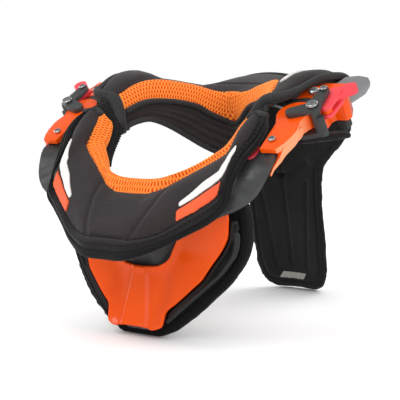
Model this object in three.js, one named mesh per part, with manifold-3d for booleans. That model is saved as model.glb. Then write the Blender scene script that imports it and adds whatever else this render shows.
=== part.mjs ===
// Neck brace for off-road riding: two padded halves that close round the neck.
// The front half carries a chest plate and pad, the rear half a back strut, and a
// toggle latch on each side draws a round knuckle of the front half into the rear half.
// Millimetres, +Z up, wearer facing -Y, wearer's left at +X.
// It stands on the lower ends of the chest pad and the back strut.
import * as THREE from 'three';
import Module from 'manifold-3d';
import { mergeVertices } from 'three/addons/utils/BufferGeometryUtils.js';

const { Vector2, Vector3 } = THREE;
const wasm = await Module();
wasm.setup();

// Driving sizes
const GAP = 0.4;
const CLOSURE_TILT = THREE.MathUtils.degToRad(33);
const MIDDLE_Y = 50.81;
const PATCH_LIFT = 0.5;
const PATCH_THICK = 0.9;
const LEFT = 1;
const RIGHT = -1;

// Front table, from the middle of the chest to the free end beside the neck.
// edge: rolled top of the mesh collar. seam: mesh meets pad. rim: pad meets binding.
// hem: outer edge of the binding. fin: outer edge of the plastic plate under the pad.
// wall: height of the mesh inside the neck hollow.
const FRONT = [
  {
    edge: [0, -60, 130], seam: [0, -69, 121], rim: [0, -105, 84],
    hem: [0, -106, 69], fin: [0, -97, 74], wall: 24,
  },
  {
    edge: [19, -60, 131], seam: [23, -67, 123], rim: [21, -104, 84],
    hem: [21, -106, 70], fin: [21, -96, 75], wall: 24,
  },
  {
    edge: [31, -57, 134], seam: [37, -59, 131], rim: [42.5, -94.5, 89],
    hem: [43, -96, 78], fin: [42, -86, 82], wall: 18,
  },
  {
    edge: [40, -51, 137], seam: [47, -53, 137], rim: [61.5, -84.7, 100],
    hem: [64, -82, 90], fin: [60, -74, 93], wall: 9,
  },
  {
    edge: [50, -41, 144], seam: [58, -46, 144], rim: [77, -76, 110.5],
    hem: [80, -73, 100], fin: [77, -65, 104], wall: 6,
  },
  {
    edge: [63, -29, 156], seam: [75, -36, 155], rim: [86.5, -71, 119.5],
    hem: [92, -69, 112], fin: [93, -63, 111], wall: 6.5,
  },
  {
    edge: [65, -22, 162], seam: [75, -31, 161], rim: [88, -62.5, 135.5],
    hem: [92, -63, 129], fin: [110, -59, 123], wall: 6,
  },
  {
    edge: [67, -16, 168], seam: [75, -25, 169], rim: [89, -48, 153],
    hem: [96, -50, 148], fin: [116.5, -51.5, 138.5], wall: 5,
  },
  {
    edge: [70, -11, 174], seam: [76, -18, 176], rim: [94, -35, 166],
    hem: [101, -36, 162], fin: [118.3, -43.5, 150.5], wall: 4,
  },
  {
    edge: [75, -11, 178], seam: [79, -14, 180], rim: [94, -24, 176],
    hem: [101, -24, 173], fin: [116, -34.5, 154.8], wall: 3,
  },
  {
    edge: [79, -12, 180], seam: [84, -13, 182], rim: [91, -17, 181],
    hem: [96, -15, 181], fin: [112, -27, 158], wall: 3,
  },
];
const TABLE_STEPS = 28;
const FRAME_STEPS = 56;
const FRONT_MESH_END = 8.6;
// Plate under the front pad: its depth below the pad, which grows beneath the arms.
const FRONT_FRAME = { end: 8.6, thick: 3.2, depth: 10.5, sinksFrom: 7.2, sinks: 2.5 };

// Black cloth tabs that close the gap between the halves inside the collar.
const TAB = [
  { high: [52.5, -37.5, 140], low: [51.5, -35.5, 135.5] },
  { high: [61.5, -28, 148.3], low: [58.5, -25, 141] },
  { high: [64, -20.5, 155.7], low: [62.5, -15.5, 148.5] },
  { high: [66.2, -14.5, 162.5], low: [64, -6, 159] },
  { high: [70, -9.5, 169.8], low: [65, 1, 169] },
  { high: [77.5, -9, 177.5], low: [69, 2.5, 179.5] },
  { high: [86.5, -9.5, 183], low: [77, 3.2, 188] },
  { high: [93, -8.5, 185.5], low: [87, 3, 191.5] },
];

// Rear table, from the middle of the back to the free end beside the neck.
// rim: outer edge of the pad. seam: mesh meets pad. line: mesh meets black lining.
// foot: lower edge of the lining. flange: outer edge of the plastic shell under the pad.
// crown: swell of the pad. pad: pad thickness. shell: shell thickness.
const REAR = [
  {
    rim: [0, 142, 216], seam: [0, 76, 196], line: [0, 84, 171],
    foot: [0, 76, 140], flange: [0, 155, 198], crown: 4, pad: 12, shell: 6,
  },
  {
    rim: [20, 141, 213.5], seam: [11, 75, 197], line: [10, 78, 175],
    foot: [11, 71, 143], flange: [26, 153, 197], crown: 4, pad: 12, shell: 6,
  },
  {
    rim: [37, 137, 209.5], seam: [21, 73, 200], line: [19, 70, 180],
    foot: [22, 64, 149], flange: [50, 149, 193], crown: 3, pad: 11, shell: 6,
  },
  {
    rim: [57, 130, 198], seam: [32, 70, 204], line: [28, 64, 186],
    foot: [33, 56, 157], flange: [76, 141, 191], crown: 1, pad: 11, shell: 6,
  },
  {
    rim: [85, 116, 201], seam: [47, 62, 207.5], line: [43, 54, 190],
    foot: [45, 46, 166], flange: [109, 122, 199], crown: 1.5, pad: 12, shell: 7,
  },
  {
    rim: [104, 100, 206], seam: [59, 52, 209.5], line: [53, 46, 191],
    foot: [53, 38, 171], flange: [127, 101, 209], crown: 1.5, pad: 12, shell: 9,
  },
  {
    rim: [111, 84, 213.5], seam: [67, 43, 209], line: [59, 39, 191],
    foot: [58, 31, 173], flange: [129, 89, 213], crown: 6.5, pad: 11, shell: 13,
  },
  {
    rim: [111, 66, 215.5], seam: [72, 35, 207], line: [63, 31, 190],
    foot: [62, 24, 172], flange: [121, 73, 213], crown: 6.5, pad: 9, shell: 15,
  },
  {
    rim: [108, 46, 214], seam: [76, 26, 203], line: [67, 23, 187],
    foot: [65, 17, 170], flange: [112, 56, 208], crown: 6.5, pad: 6, shell: 15,
  },
  {
    rim: [105, 29, 208.5], seam: [79, 18.5, 198.5], line: [70, 15, 183],
    foot: [67, 10, 167], flange: [108, 40, 200], crown: 5, pad: 5, shell: 15,
  },
  {
    rim: [101, 14, 200.5], seam: [81, 12, 195.5], line: [72, 8, 180],
    foot: [69, 5, 164], flange: [104, 30, 190], crown: 3, pad: 5, shell: 15,
  },
];
const REAR_SHELL_END = 7.2;
const SHELL_BELOW = 3;

// Back strut pad, from its foot to the yoke under the rear table.
const BACK_PAD = [
  { z: 0, half: 22 },
  { z: 4, half: 31 },
  { z: 12, half: 37 },
  { z: 25, half: 41 },
  { z: 60, half: 43 },
  { z: 89, half: 43.7 },
  { z: 110, half: 45.5 },
  { z: 126, half: 49 },
  { z: 137, half: 59.5 },
  { z: 146, half: 71 },
  { z: 156, half: 81 },
  { z: 164, half: 88.5 },
  { z: 178, half: 89 },
  { z: 184.5, half: 76 },
  { z: 188, half: 30 },
];
const BACK_THICK = { middle: 13, edge: 5, from: 18, to: 42 };
const BACK_LEAN = 0.235;
const BACK_FACE_Y = 160;
const BACK_FACE_Z = 150;
const BACK_BOW = 0.0022;
const BACK_BOW_DEEPENS = { below: 89, over: 80 };
const BACK_POINTS = 9;

// Padded flap under each rear arm, seen from above. It rises towards the back.
const FLAP = { foot: 155, thick: 6, rise: 0.1 };
const FLAP_OUTLINE = [
  { x: 104, v: 18 },
  { x: 108, v: 20 },
  { x: 122, v: 44 },
  { x: 131, v: 62 },
  { x: 122, v: 71 },
  { x: 104, v: 62 },
];

// Chest plate, rubber grips and chest pad, across from the middle to the side.
const CHEST_PLATE = [
  { x: 0, foot: 8.9, top: 58.3 },
  { x: 12, foot: 8.9, top: 58.5 },
  { x: 18, foot: 7.7, top: 59.8 },
  { x: 25, foot: 9.3, top: 64 },
  { x: 28, foot: 11.5, top: 67.5 },
  { x: 29.6, foot: 22, top: 69.8 },
  { x: 38, foot: 30.3, top: 82 },
  { x: 46, foot: 38, top: 90.5 },
  { x: 53, foot: 45, top: 96 },
  { x: 58.5, foot: 50.5, top: 99 },
  { x: 61.5, foot: 56, top: 100.7 },
  { x: 66, foot: 63.4, top: 103 },
  { x: 74, foot: 75, top: 106 },
  { x: 80, foot: 86, top: 108 },
  { x: 82.2, foot: 95, top: 108.6 },
  { x: 84, foot: 103, top: 109 },
];
const CHEST_PAD = [
  { x: 0, foot: 0, top: 63 },
  { x: 20, foot: 0, top: 67 },
  { x: 24, foot: 1.2, top: 70 },
  { x: 34, foot: 5.6, top: 79 },
  { x: 43, foot: 12.6, top: 86 },
  { x: 52, foot: 19.4, top: 92 },
  { x: 60, foot: 26.2, top: 97 },
  { x: 68, foot: 34.5, top: 102 },
  { x: 76, foot: 42.6, top: 106 },
  { x: 81, foot: 49, top: 110 },
  { x: 87.3, foot: 60, top: 114.5 },
  { x: 92.2, foot: 69.5, top: 117 },
  { x: 94.8, foot: 81, top: 117.5 },
  { x: 96.6, foot: 96, top: 117 },
];
const CHEST_GRIP = [
  { x: 30.6, foot: 12.8, top: 21.8 },
  { x: 38, foot: 19.5, top: 29.2 },
  { x: 46, foot: 27, top: 36.9 },
  { x: 53, foot: 33.5, top: 43.9 },
  { x: 58.7, foot: 39, top: 49.5 },
  { x: 62, foot: 42.2, top: 55.2 },
  { x: 66.5, foot: 46.5, top: 62.8 },
  { x: 74.6, foot: 55, top: 74.6 },
  { x: 80.8, foot: 64, top: 86.2 },
  { x: 83, foot: 67.2, top: 95.2 },
  { x: 85.4, foot: 71, top: 100.2 },
  { x: 88.3, foot: 79.5, top: 100.8 },
  { x: 90, foot: 90, top: 100.8 },
];
// Front face of the chest pad, in the middle and at its side.
const CHEST_FACE = [
  { z: 0, middle: -60, side: -60 },
  { z: 27, middle: -54.6, side: -53 },
  { z: 43, middle: -51.4, side: -46 },
  { z: 61, middle: -47.8, side: -40 },
  { z: 80, middle: -46, side: -40 },
  { z: 120, middle: -53.5, side: -52.5 },
];
const CHEST_SIDE = 88;
const CHEST_PAD_THICK = 13;
const PLATE_STAND_OFF = 7.5;
const PLATE_THICK = 3;
const GRIP_STAND_OFF = 6.5;
const GRIP_THICK = 5;
// Tongue of the front frame: behind the plate's dip, then bent forward over its edge.
const TONGUE = { foot: 45, top: 91, reach: 30.4, thick: 2.6, standOff: 3.8 };
const TONGUE_BEND = [
  { x: 0, bend: 61.5 },
  { x: 7, bend: 61.6 },
  { x: 13, bend: 62.5 },
  { x: 18.5, bend: 68 },
  { x: 24, bend: 76 },
  { x: 30, bend: 84 },
];

// Closure, in the tilted plane of the latches: x across, v along the arm, h above.
const KNUCKLE = { x: 111, v: 100, r: 14.5 };
const ARM_TOP = 155;
const ARM = { front: 50, frontFoot: 151, slope: 0.2 };
// Outer side of the front arm, bowed out between its front end and the knuckle.
const ARM_SIDE = [
  { x: 119.5, v: 50 },
  { x: 123, v: 57 },
  { x: 125.3, v: 66 },
  { x: 126, v: 75 },
  { x: 125.2, v: 81 },
  { x: 123.2, v: 87 },
];
// Where the arm's outer side meets the knuckle, and its inner side from there to its front end.
const ARM_NECK = { x: 124.2, v: 94, turn: Math.PI + 0.3 };
const ARM_INNER = [
  { x: 102.4, v: 84 },
  { x: 104, v: 66 },
  { x: 105.5, v: 50 },
];
// Rib down the arm's outer side, which tapers to a prong under the fin's edge.
const PRONG = [
  { v: 84, inner: 121, outer: 125.8, foot: 146.5, top: 152.5 },
  { v: 68, inner: 121, outer: 125.4, foot: 145.5, top: 152.5 },
  { v: 56, inner: 118, outer: 123, foot: 145, top: 152 },
  { v: 50, inner: 118.9, outer: 120.9, foot: 142.5, top: 146.8 },
  { v: 42, inner: 116.5, outer: 118, foot: 140.5, top: 143 },
  { v: 37, inner: 116.5, outer: 117.6, foot: 138.5, top: 140.5 },
];
const LEVER_PIVOT = { x: 133, v: 113, r: 5.5 };
const LINK_PIVOT = { x: 127, v: 126.7, r: 5.5 };
const LINK_END = { ...LINK_PIVOT, r: 4.2 };
const BOLT_AT = { x: 128, v: 103, r: 6 };
const HANDLE = { x: 142.5, v: 140, r: 6 };
const HANDLE_ROOT = { x: 134, v: 132.3, r: 5 };
const BARREL = [
  { x: 129.7, v: 99.6, r: 3 },
  { x: 130.2, v: 102.2, r: 3 },
];
const BARREL_SIDE = { x: 133, v: 100.4, r: 3.4, top: 151 };
const SOCKET = { inner: 15.2, outer: 24.5, top: 152, foot: 140 };
const PLATE = 4;
const BAIL_TOP = ARM_TOP + GAP + PLATE;
const BAIL_FOOT = 133.5;
const LEVER_TOP = ARM_TOP - GAP;
const LEVER_FOOT = 143.5;
const HANDLE_FOOT = 147.8;
const HANDLE_TOP = 153.4;
const LUG_TOP = 150.5;
const LUG_FOOT = 147;
const REAR_ARM_TOP = 152;
const REAR_ARM_STEP = 147;
const REAR_ARM_FOOT = 121;
const STRAP_TAB = { x: 126, v: 144, across: 8, along: 10, drop: 11 };
const SIDES = 24;
const SCREW_SIDES = 12;
const ARC_STEPS = 10;

const at = (point) => new Vector3(...point);
const mirrorPoint = (p) => new Vector3(-p.x, p.y, p.z);
const lerp = THREE.MathUtils.lerp;

function finish(color, roughness, metalness = 0) {
  return new THREE.MeshStandardMaterial({ color, roughness, metalness });
}

const charcoalCloth = finish(0x3a3637, 0.9);
const blackBinding = finish(0x222223, 0.85);
const orangeMesh = finish(0xff8a2a, 0.8);
const blackMesh = finish(0x2a2a2b, 0.9);
const reflectiveTape = finish(0xeeeae6, 0.45);
const orangePad = finish(0xf26a3c, 0.7);
const orangePlastic = finish(0xff6a14, 0.25);
const darkNylon = finish(0x454647, 0.5);
const greyNylon = finish(0x6c6c6e, 0.35);
const redNylon = finish(0xe8283a, 0.4);
const blackRubber = finish(0x1c1c1d, 0.7);
const steel = finish(0xc9cbcd, 0.25, 1);
const greyPatch = finish(0xb4b0aa, 0.8);

// Turns the triangles round when the closed surface faces inwards.
function facingOut(position, index) {
  let volume = 0;
  for (let i = 0; i < index.length; i += 3) {
    const [a, b, c] = [0, 1, 2].map((k) => at(position.slice(index[i + k] * 3, index[i + k] * 3 + 3)));
    volume += a.dot(b.cross(c));
  }
  if (volume < 0) {
    for (let i = 0; i < index.length; i += 3) {
      [index[i], index[i + 1]] = [index[i + 1], index[i]];
    }
  }
  const geometry = new THREE.BufferGeometry();
  geometry.setAttribute('position', new THREE.Float32BufferAttribute(position, 3));
  geometry.setIndex(index);
  return geometry;
}

// Triangles that close one flat ring of points, wound the way the ring runs.
function capFaces(ring) {
  const middle = ring.reduce((sum, p) => sum.add(p), new Vector3()).divideScalar(ring.length);
  const normal = new Vector3();
  ring.forEach((p, i) => {
    const next = ring[(i + 1) % ring.length];
    normal.add(p.clone().sub(middle).cross(next.clone().sub(middle)));
  });
  normal.normalize();
  const across = ring[1].clone().sub(ring[0]).normalize();
  const up = normal.clone().cross(across);
  const flat = ring.map((p) => new Vector2(p.dot(across), p.dot(up)));
  return THREE.ShapeUtils.triangulateShape(flat, []).map((face) => {
    const [a, b, c] = face.map((i) => flat[i]);
    const turn = b.clone().sub(a).cross(c.clone().sub(a));
    return turn > 0 ? face : [face[1], face[0], face[2]];
  });
}

// Closed skin over a row of matching rings, with both ends capped.
function skin(rings) {
  const count = rings[0].length;
  const position = rings.flat().flatMap((p) => [p.x, p.y, p.z]);
  const index = [];
  for (let i = 0; i + 1 < rings.length; i += 1) {
    for (let j = 0; j < count; j += 1) {
      const next = (j + 1) % count;
      const [a, b] = [i * count + j, i * count + next];
      index.push(a, b, b + count, a, b + count, a + count);
    }
  }
  const last = (rings.length - 1) * count;
  capFaces(rings[0]).forEach(([a, b, c]) => index.push(b, a, c));
  capFaces(rings[rings.length - 1]).forEach(([a, b, c]) => index.push(last + a, last + b, last + c));
  return facingOut(position, index);
}

// Smooth line through one column of a table, over both sides of the body.
function trace(rows, name) {
  const half = rows.map((row) => at(row[name]));
  const other = half.slice(1).reverse().map(mirrorPoint);
  return new THREE.CatmullRomCurve3([...other, ...half], false, 'centripetal');
}

// One number of a table at a place between rows, the same on both sides.
function value(rows, name, place) {
  const i = Math.min(Math.floor(Math.abs(place)), rows.length - 2);
  return lerp(rows[i][name], rows[i + 1][name], Math.abs(place) - i);
}

// Frames along a padded table: from inner line to outer line, with the way up.
// Where a section runs nearly along the table the way up falls back to the usual one.
function tableFrames(rows, innerName, outerName, facing) {
  const [inner, outer] = [trace(rows, innerName), trace(rows, outerName)];
  const ends = rows.length - 1;
  const middle = (t) => inner.getPoint(t).add(outer.getPoint(t));
  return (place) => {
    const t = THREE.MathUtils.clamp(place / ends / 2 + 0.5, 0, 1);
    const step = 0.004;
    const along = middle(Math.min(t + step, 1)).sub(middle(Math.max(t - step, 0))).normalize();
    const origin = inner.getPoint(t);
    const u = outer.getPoint(t).sub(origin);
    const width = u.length();
    u.normalize();
    const square = u.clone().cross(along);
    const usual = facing(origin).normalize();
    const n = square.clone().normalize();
    if (n.dot(usual) < 0) n.negate();
    n.lerp(usual, 1 - square.length()).normalize();
    const point = (across, above) => origin.clone().addScaledVector(u, across).addScaledVector(n, above);
    return { place, width, origin, u, n, point };
  };
}

// Places along a table, counted in rows from the middle, up to a last place.
function places(rows, last = rows.length - 1, steps = TABLE_STEPS) {
  const end = rows.length - 1;
  const all = Array.from({ length: steps + 1 }, (_, i) => lerp(-end, end, i / steps));
  return all.filter((place) => Math.abs(place) <= last + 0.001);
}

const upward = () => new Vector3(0, -0.4, 1);
const towardNeck = (p) => new Vector3(-p.x, -p.y, 12);

// Crowned pad between two lines, thick at the inner line and thinner at the outer.
// Its underside stops short of the lines by cutIn and cutOut, which mitres the joints.
function paddedLoft(frames, list, { crown, thickIn, thickOut, cutIn = GAP, cutOut = GAP, points = 6 }) {
  const rings = list.map((place) => {
    const frame = frames(place);
    const number = (size) => (typeof size === 'function' ? size(place) : size);
    const top = [];
    const under = [];
    for (let i = 0; i < points; i += 1) {
      const f = i / (points - 1);
      const dome = number(crown) * Math.sqrt(4 * f * (1 - f));
      top.push(frame.point(lerp(GAP, frame.width - GAP, f), dome));
      const depth = lerp(number(thickIn), number(thickOut), f);
      under.unshift(frame.point(lerp(cutIn, frame.width - cutOut, f), -depth));
    }
    return [...top, ...under];
  });
  return skin(rings);
}

// Thin patch that lies on a crowned pad, between two shares of its width.
function patchLoft(frames, rows, list, crown) {
  const [first, last] = [rows[0].place, rows[rows.length - 1].place];
  const spots = [first, ...list.filter((place) => place > first && place < last), last];
  const rings = spots.map((place) => {
    const frame = frames(place);
    const i = Math.max(rows.findIndex((row) => row.place >= place), 1);
    const [a, b] = [rows[i - 1], rows[i]];
    const part = (place - a.place) / (b.place - a.place);
    const line = [0, 0.5, 1].map((f) => {
      const share = lerp(lerp(a.from, b.from, part), lerp(a.to, b.to, part), f);
      return { across: frame.width * share, dome: crown(place) * Math.sqrt(4 * share * (1 - share)) };
    });
    const top = line.map((p) => frame.point(p.across, p.dome + PATCH_LIFT + PATCH_THICK));
    const under = line.map((p) => frame.point(p.across, p.dome + PATCH_LIFT));
    return [...top, ...under.reverse()];
  });
  return skin(rings);
}

// Upright panel across the body: a face line for each x, from foot to top.
function panel(rows, face, count, bothSides = true) {
  const other = bothSides ? rows.slice(1).reverse().map((row) => ({ ...row, x: -row.x })) : [];
  const rings = [...other, ...rows].map((row) => {
    const front = [];
    const back = [];
    for (let i = 0; i < count; i += 1) {
      const f = i / (count - 1);
      const z = lerp(row.foot, row.top, f);
      const y = face(row, z);
      const swell = 0.7 + 0.3 * Math.sqrt(4 * f * (1 - f));
      front.push(new Vector3(row.x, y, z));
      back.unshift(new Vector3(row.x, y + row.thick * swell, z));
    }
    return [...front, ...back];
  });
  return skin(rings);
}

function solid(geometry) {
  const bare = geometry.clone();
  bare.deleteAttribute('normal');
  bare.deleteAttribute('uv');
  const merged = mergeVertices(bare);
  const vertProperties = merged.attributes.position.array;
  return new wasm.Manifold(new wasm.Mesh({ numProp: 3, vertProperties, triVerts: merged.index.array }));
}

function joined(...geometries) {
  const mesh = geometries.map(solid).reduce((sum, next) => sum.add(next)).getMesh();
  return facingOut(Array.from(mesh.vertProperties), Array.from(mesh.triVerts));
}

// The same piece for the wearer's other side.
function onSide(geometry, side) {
  if (side === LEFT) return geometry;
  const bare = geometry.index ? geometry.clone() : mergeVertices(geometry);
  const position = Array.from(bare.attributes.position.array, (n, i) => (i % 3 === 0 ? -n : n));
  return facingOut(position, Array.from(bare.index.array));
}

function slab(shape, foot, top) {
  const options = { depth: top - foot, bevelEnabled: false, curveSegments: ARC_STEPS };
  const geometry = new THREE.ExtrudeGeometry(shape, options);
  geometry.deleteAttribute('normal');
  geometry.deleteAttribute('uv');
  return mergeVertices(geometry.translate(0, 0, foot));
}

// Outline drawn tight round circles, like a belt over pulleys.
function belt(...circles) {
  const points = circles.flatMap(({ x, v, r }) => Array.from({ length: SIDES }, (_, i) => {
    const angle = (i / SIDES) * 2 * Math.PI;
    return new Vector2(x + r * Math.cos(angle), v + r * Math.sin(angle));
  }));
  points.sort((a, b) => a.x - b.x || a.y - b.y);
  const turn = (a, b, c) => b.clone().sub(a).cross(c.clone().sub(a));
  const chain = (list) => list.reduce((hull, p) => {
    while (hull.length > 1 && turn(hull.at(-2), hull.at(-1), p) <= 0) hull.pop();
    return [...hull, p];
  }, []);
  const [low, high] = [chain(points), chain([...points].reverse())];
  return new THREE.Shape([...low.slice(0, -1), ...high.slice(0, -1)]);
}

function polygon(points) {
  return new THREE.Shape(points.map(({ x, v }) => new Vector2(x, v)));
}

// Button-head screw with a socket in its head, standing on a face at height h.
function screw({ x, v }, h, radius, height) {
  const profile = [
    [0, 0],
    [radius, 0],
    [radius, height * 0.5],
    [radius * 0.75, height],
    [radius * 0.42, height],
    [radius * 0.36, height * 0.5],
    [0, height * 0.5],
  ];
  const geometry = new THREE.LatheGeometry(profile.map(([r, y]) => new Vector2(r, y)), SCREW_SIDES);
  return geometry.rotateX(Math.PI / 2).translate(x, v, h);
}

const brace = new THREE.Group();
brace.position.y = -MIDDLE_Y;
const closure = new THREE.Group();
closure.rotation.x = CLOSURE_TILT;
brace.add(closure);

function add(parent, name, geometry, material) {
  const mesh = new THREE.Mesh(geometry, material.clone());
  mesh.name = name;
  parent.add(mesh);
}

function addPair(parent, name, geometry, material) {
  add(parent, `${name}_left`, geometry, material);
  add(parent, `${name}_right`, onSide(geometry, RIGHT), material);
}

// Front table: pad, binding, mesh collar, plate with side fins
const FRONT_PAD_IN = 8;
const FRONT_PAD_OUT = 5;
const MITRE = 2.6;
const frontEnd = FRONT.length - 1;
const frontTable = tableFrames(FRONT, 'seam', 'rim', upward);
const frontList = places(FRONT);
const frontCrown = (place) => THREE.MathUtils.clamp(1 + 2 * Math.abs(place), 2, 5);

// Lip round the outside of the front table, from the pad's rim to the hem.
function frontBinding() {
  const hem = trace(FRONT, 'hem');
  const thick = 4;
  const rings = frontList.map((place) => {
    const frame = frontTable(place);
    const high = frame.point(frame.width + GAP, 0);
    const inner = frame.point(frame.width + MITRE, -FRONT_PAD_OUT);
    const low = hem.getPoint(place / frontEnd / 2 + 0.5);
    const inward = inner.clone().sub(high).setLength(thick);
    const swell = high.clone().lerp(low, 0.5).addScaledVector(inward, -0.3);
    return [high, swell, low, low.clone().add(inward), inner];
  });
  return skin(rings);
}

function frontMesh() {
  const collar = tableFrames(FRONT, 'edge', 'seam', upward);
  const edge = trace(FRONT, 'edge');
  const rings = places(FRONT, FRONT_MESH_END).map((place) => {
    const frame = collar(place);
    const pad = frontTable(place);
    const wall = value(FRONT, 'wall', place);
    const top = edge.getPoint(place / frontEnd / 2 + 0.5);
    const inward = new Vector3(-top.x, -top.y * 1.2, 0).normalize();
    const down = (distance, side) => top.clone().addScaledVector(inward, side).setZ(top.z - distance);
    return [
      pad.point(-2 * GAP, 0),
      frame.point(frame.width * 0.5, 1.5),
      top,
      down(2, 2.5),
      down(wall, 3),
      down(wall, -1.5),
      pad.point(-MITRE, -FRONT_PAD_IN),
    ];
  });
  return skin(rings);
}

function frontFrame() {
  const fin = trace(FRONT, 'fin');
  const { end, thick, depth, sinksFrom, sinks } = FRONT_FRAME;
  const rings = places(FRONT, end, FRAME_STEPS).map((place) => {
    const frame = frontTable(place);
    const below = -depth - Math.max(Math.abs(place) - sinksFrom, 0) * sinks;
    const outer = fin.getPoint(place / frontEnd / 2 + 0.5);
    const line = [frame.point(frame.width * 0.5, below - GAP), frame.point(frame.width * 0.95, below), outer];
    const under = line.map((p) => p.clone().addScaledVector(frame.n, -thick));
    return [...line, ...under.reverse()];
  });
  const tongueRows = TONGUE_BEND.map((row) => ({ ...TONGUE, ...row }));
  const face = (row, z) => {
    const bent = Math.max(z - row.bend, 0) / (TONGUE.top - row.bend);
    return chestFace(row, Math.min(z, row.bend)) - TONGUE.standOff - TONGUE.reach * bent;
  };
  const tongue = panel(tongueRows, face, 8);
  return joined(skin(rings), tongue);
}

function chestFace({ x }, z) {
  const i = Math.max(CHEST_FACE.findIndex((row) => row.z >= z), 1);
  const [a, b] = [CHEST_FACE[i - 1], CHEST_FACE[i]];
  const part = (z - a.z) / (b.z - a.z);
  const bow = (x / CHEST_SIDE) ** 2;
  return lerp(lerp(a.middle, b.middle, part), lerp(a.side, b.side, part), bow);
}

function buildFrontHalf() {
  add(brace, 'front_table_pad', paddedLoft(frontTable, frontList, {
    crown: frontCrown, thickIn: FRONT_PAD_IN, thickOut: FRONT_PAD_OUT, cutIn: MITRE, cutOut: MITRE,
  }), charcoalCloth);
  add(brace, 'front_table_binding', frontBinding(), blackBinding);
  add(brace, 'front_collar_mesh', frontMesh(), orangeMesh);
  add(brace, 'front_frame', frontFrame(), darkNylon);
  const strip = [
    { place: 2.9, from: 0.66, to: 0.73 },
    { place: 3.5, from: 0.6, to: 0.72 },
    { place: 4.1, from: 0.53, to: 0.695 },
    { place: 4.5, from: 0.5, to: 0.68 },
    { place: 4.8, from: 0.475, to: 0.67 },
    { place: 5.2, from: 0.5, to: 0.72 },
    { place: 5.5, from: 0.56, to: 0.8 },
    { place: 5.9, from: 0.63, to: 0.905 },
    { place: 6.5, from: 0.72, to: 0.985 },
    { place: 7.1, from: 0.8, to: 0.99 },
  ];
  addPair(brace, 'front_strip', patchLoft(frontTable, strip, frontList, frontCrown), reflectiveTape);
  const accent = [
    { place: 2.8, from: 0.77, to: 0.97 },
    { place: 3.5, from: 0.75, to: 0.97 },
    { place: 4.1, from: 0.735, to: 0.97 },
    { place: 4.7, from: 0.72, to: 0.97 },
    { place: 5.2, from: 0.79, to: 0.98 },
    { place: 5.6, from: 0.89, to: 0.98 },
  ];
  addPair(brace, 'front_accent', patchLoft(frontTable, accent, frontList, frontCrown), orangePad);
  addPair(brace, 'collar_tab', collarTab(), blackMesh);
  const plateFace = (row, z) => chestFace(row, z) - PLATE_STAND_OFF;
  const gripFace = (row, z) => chestFace(row, z) - GRIP_STAND_OFF;
  const layer = (rows, thick) => rows.map((row) => ({ ...row, thick }));
  add(brace, 'chest_plate', panel(layer(CHEST_PLATE, PLATE_THICK), plateFace, 5), orangePlastic);
  addPair(brace, 'chest_grip', panel(layer(CHEST_GRIP, GRIP_THICK), gripFace, 4, false), blackRubber);
  add(brace, 'chest_pad', panel(layer(CHEST_PAD, CHEST_PAD_THICK), chestFace, 5), charcoalCloth);
}

// Strip of black mesh cloth that follows the inside of the collar's free end.
function collarTab() {
  const thick = 3;
  const high = new THREE.CatmullRomCurve3(TAB.map((row) => at(row.high)), false, 'centripetal');
  const low = new THREE.CatmullRomCurve3(TAB.map((row) => at(row.low)), false, 'centripetal');
  const rings = Array.from({ length: 13 }, (_, i) => {
    const [a, b] = [high.getPoint(i / 12), low.getPoint(i / 12)];
    const inward = new Vector3(-a.x, -a.y, 6).normalize().multiplyScalar(thick);
    return [a, b, b.clone().add(inward), a.clone().add(inward)];
  });
  return skin(rings);
}

// Rear table: pad, binding, mesh, lining, shell, back strut, flaps
const rearTable = tableFrames(REAR, 'seam', 'rim', upward);
const rearEnd = REAR.length - 1;
const rearList = places(REAR);

function rearShell() {
  const flange = trace(REAR, 'flange');
  const rings = places(REAR, REAR_SHELL_END).map((place) => {
    const frame = rearTable(place);
    const pad = value(REAR, 'pad', place) + SHELL_BELOW;
    const thick = value(REAR, 'shell', place);
    const outer = flange.getPoint(place / rearEnd / 2 + 0.5);
    const line = [frame.point(frame.width * 0.55, -pad - 1), frame.point(frame.width * 0.92, -pad), outer];
    const under = line.map((p, i) => p.clone().setZ(p.z - thick * [1, 1, 0.55][i]));
    return [...line, ...under.reverse()];
  });
  return skin(rings);
}

// Binding round the rear pad: along its rim and down its two front ends.
function rearBinding() {
  const [beyond, below, ahead] = [3.4, 2.2, 4.6];
  const front = new Vector3(0, -1, -0.6).normalize();
  const corner = rearTable(rearEnd);
  const rim = rearList.slice(1, -1).map((place) => {
    const frame = rearTable(place);
    return { p: frame.point(frame.width + beyond, -below), out: frame.u };
  });
  const end = [
    { p: corner.point(corner.width + beyond, -below), out: corner.u.clone().add(front) },
    { p: corner.point(corner.width, -1), out: front },
    { p: corner.point(0, -1), out: front },
    { p: at(REAR[rearEnd].line), out: front },
    { p: at(REAR[rearEnd].foot), out: front },
  ];
  end.forEach(({ p }) => p.addScaledVector(front, ahead));
  const flip = ({ p, out }) => ({ p: mirrorPoint(p), out: mirrorPoint(out) });
  const path = [...end.map(flip).reverse(), ...rim, ...end];
  const rings = path.map(({ p, out }, i) => {
    const [before, after] = [path[Math.max(i - 1, 0)].p, path[Math.min(i + 1, path.length - 1)].p];
    const along = after.clone().sub(before).normalize();
    const side = out.clone().addScaledVector(along, -out.dot(along)).normalize();
    const up = side.clone().cross(along).normalize();
    const spot = (a, b) => p.clone().addScaledVector(side, a).addScaledVector(up, b);
    return [spot(-2.2, -3), spot(1.6, -2.6), spot(2.4, 0), spot(1.6, 2.6), spot(-2.2, 3)];
  });
  return skin(rings);
}

function backFace({ x }, z) {
  const deepening = Math.max(BACK_BOW_DEEPENS.below - z, 0) / BACK_BOW_DEEPENS.over;
  return BACK_FACE_Y + (BACK_FACE_Z - z) * BACK_LEAN - BACK_BOW * x * x * (1 + deepening);
}

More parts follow.
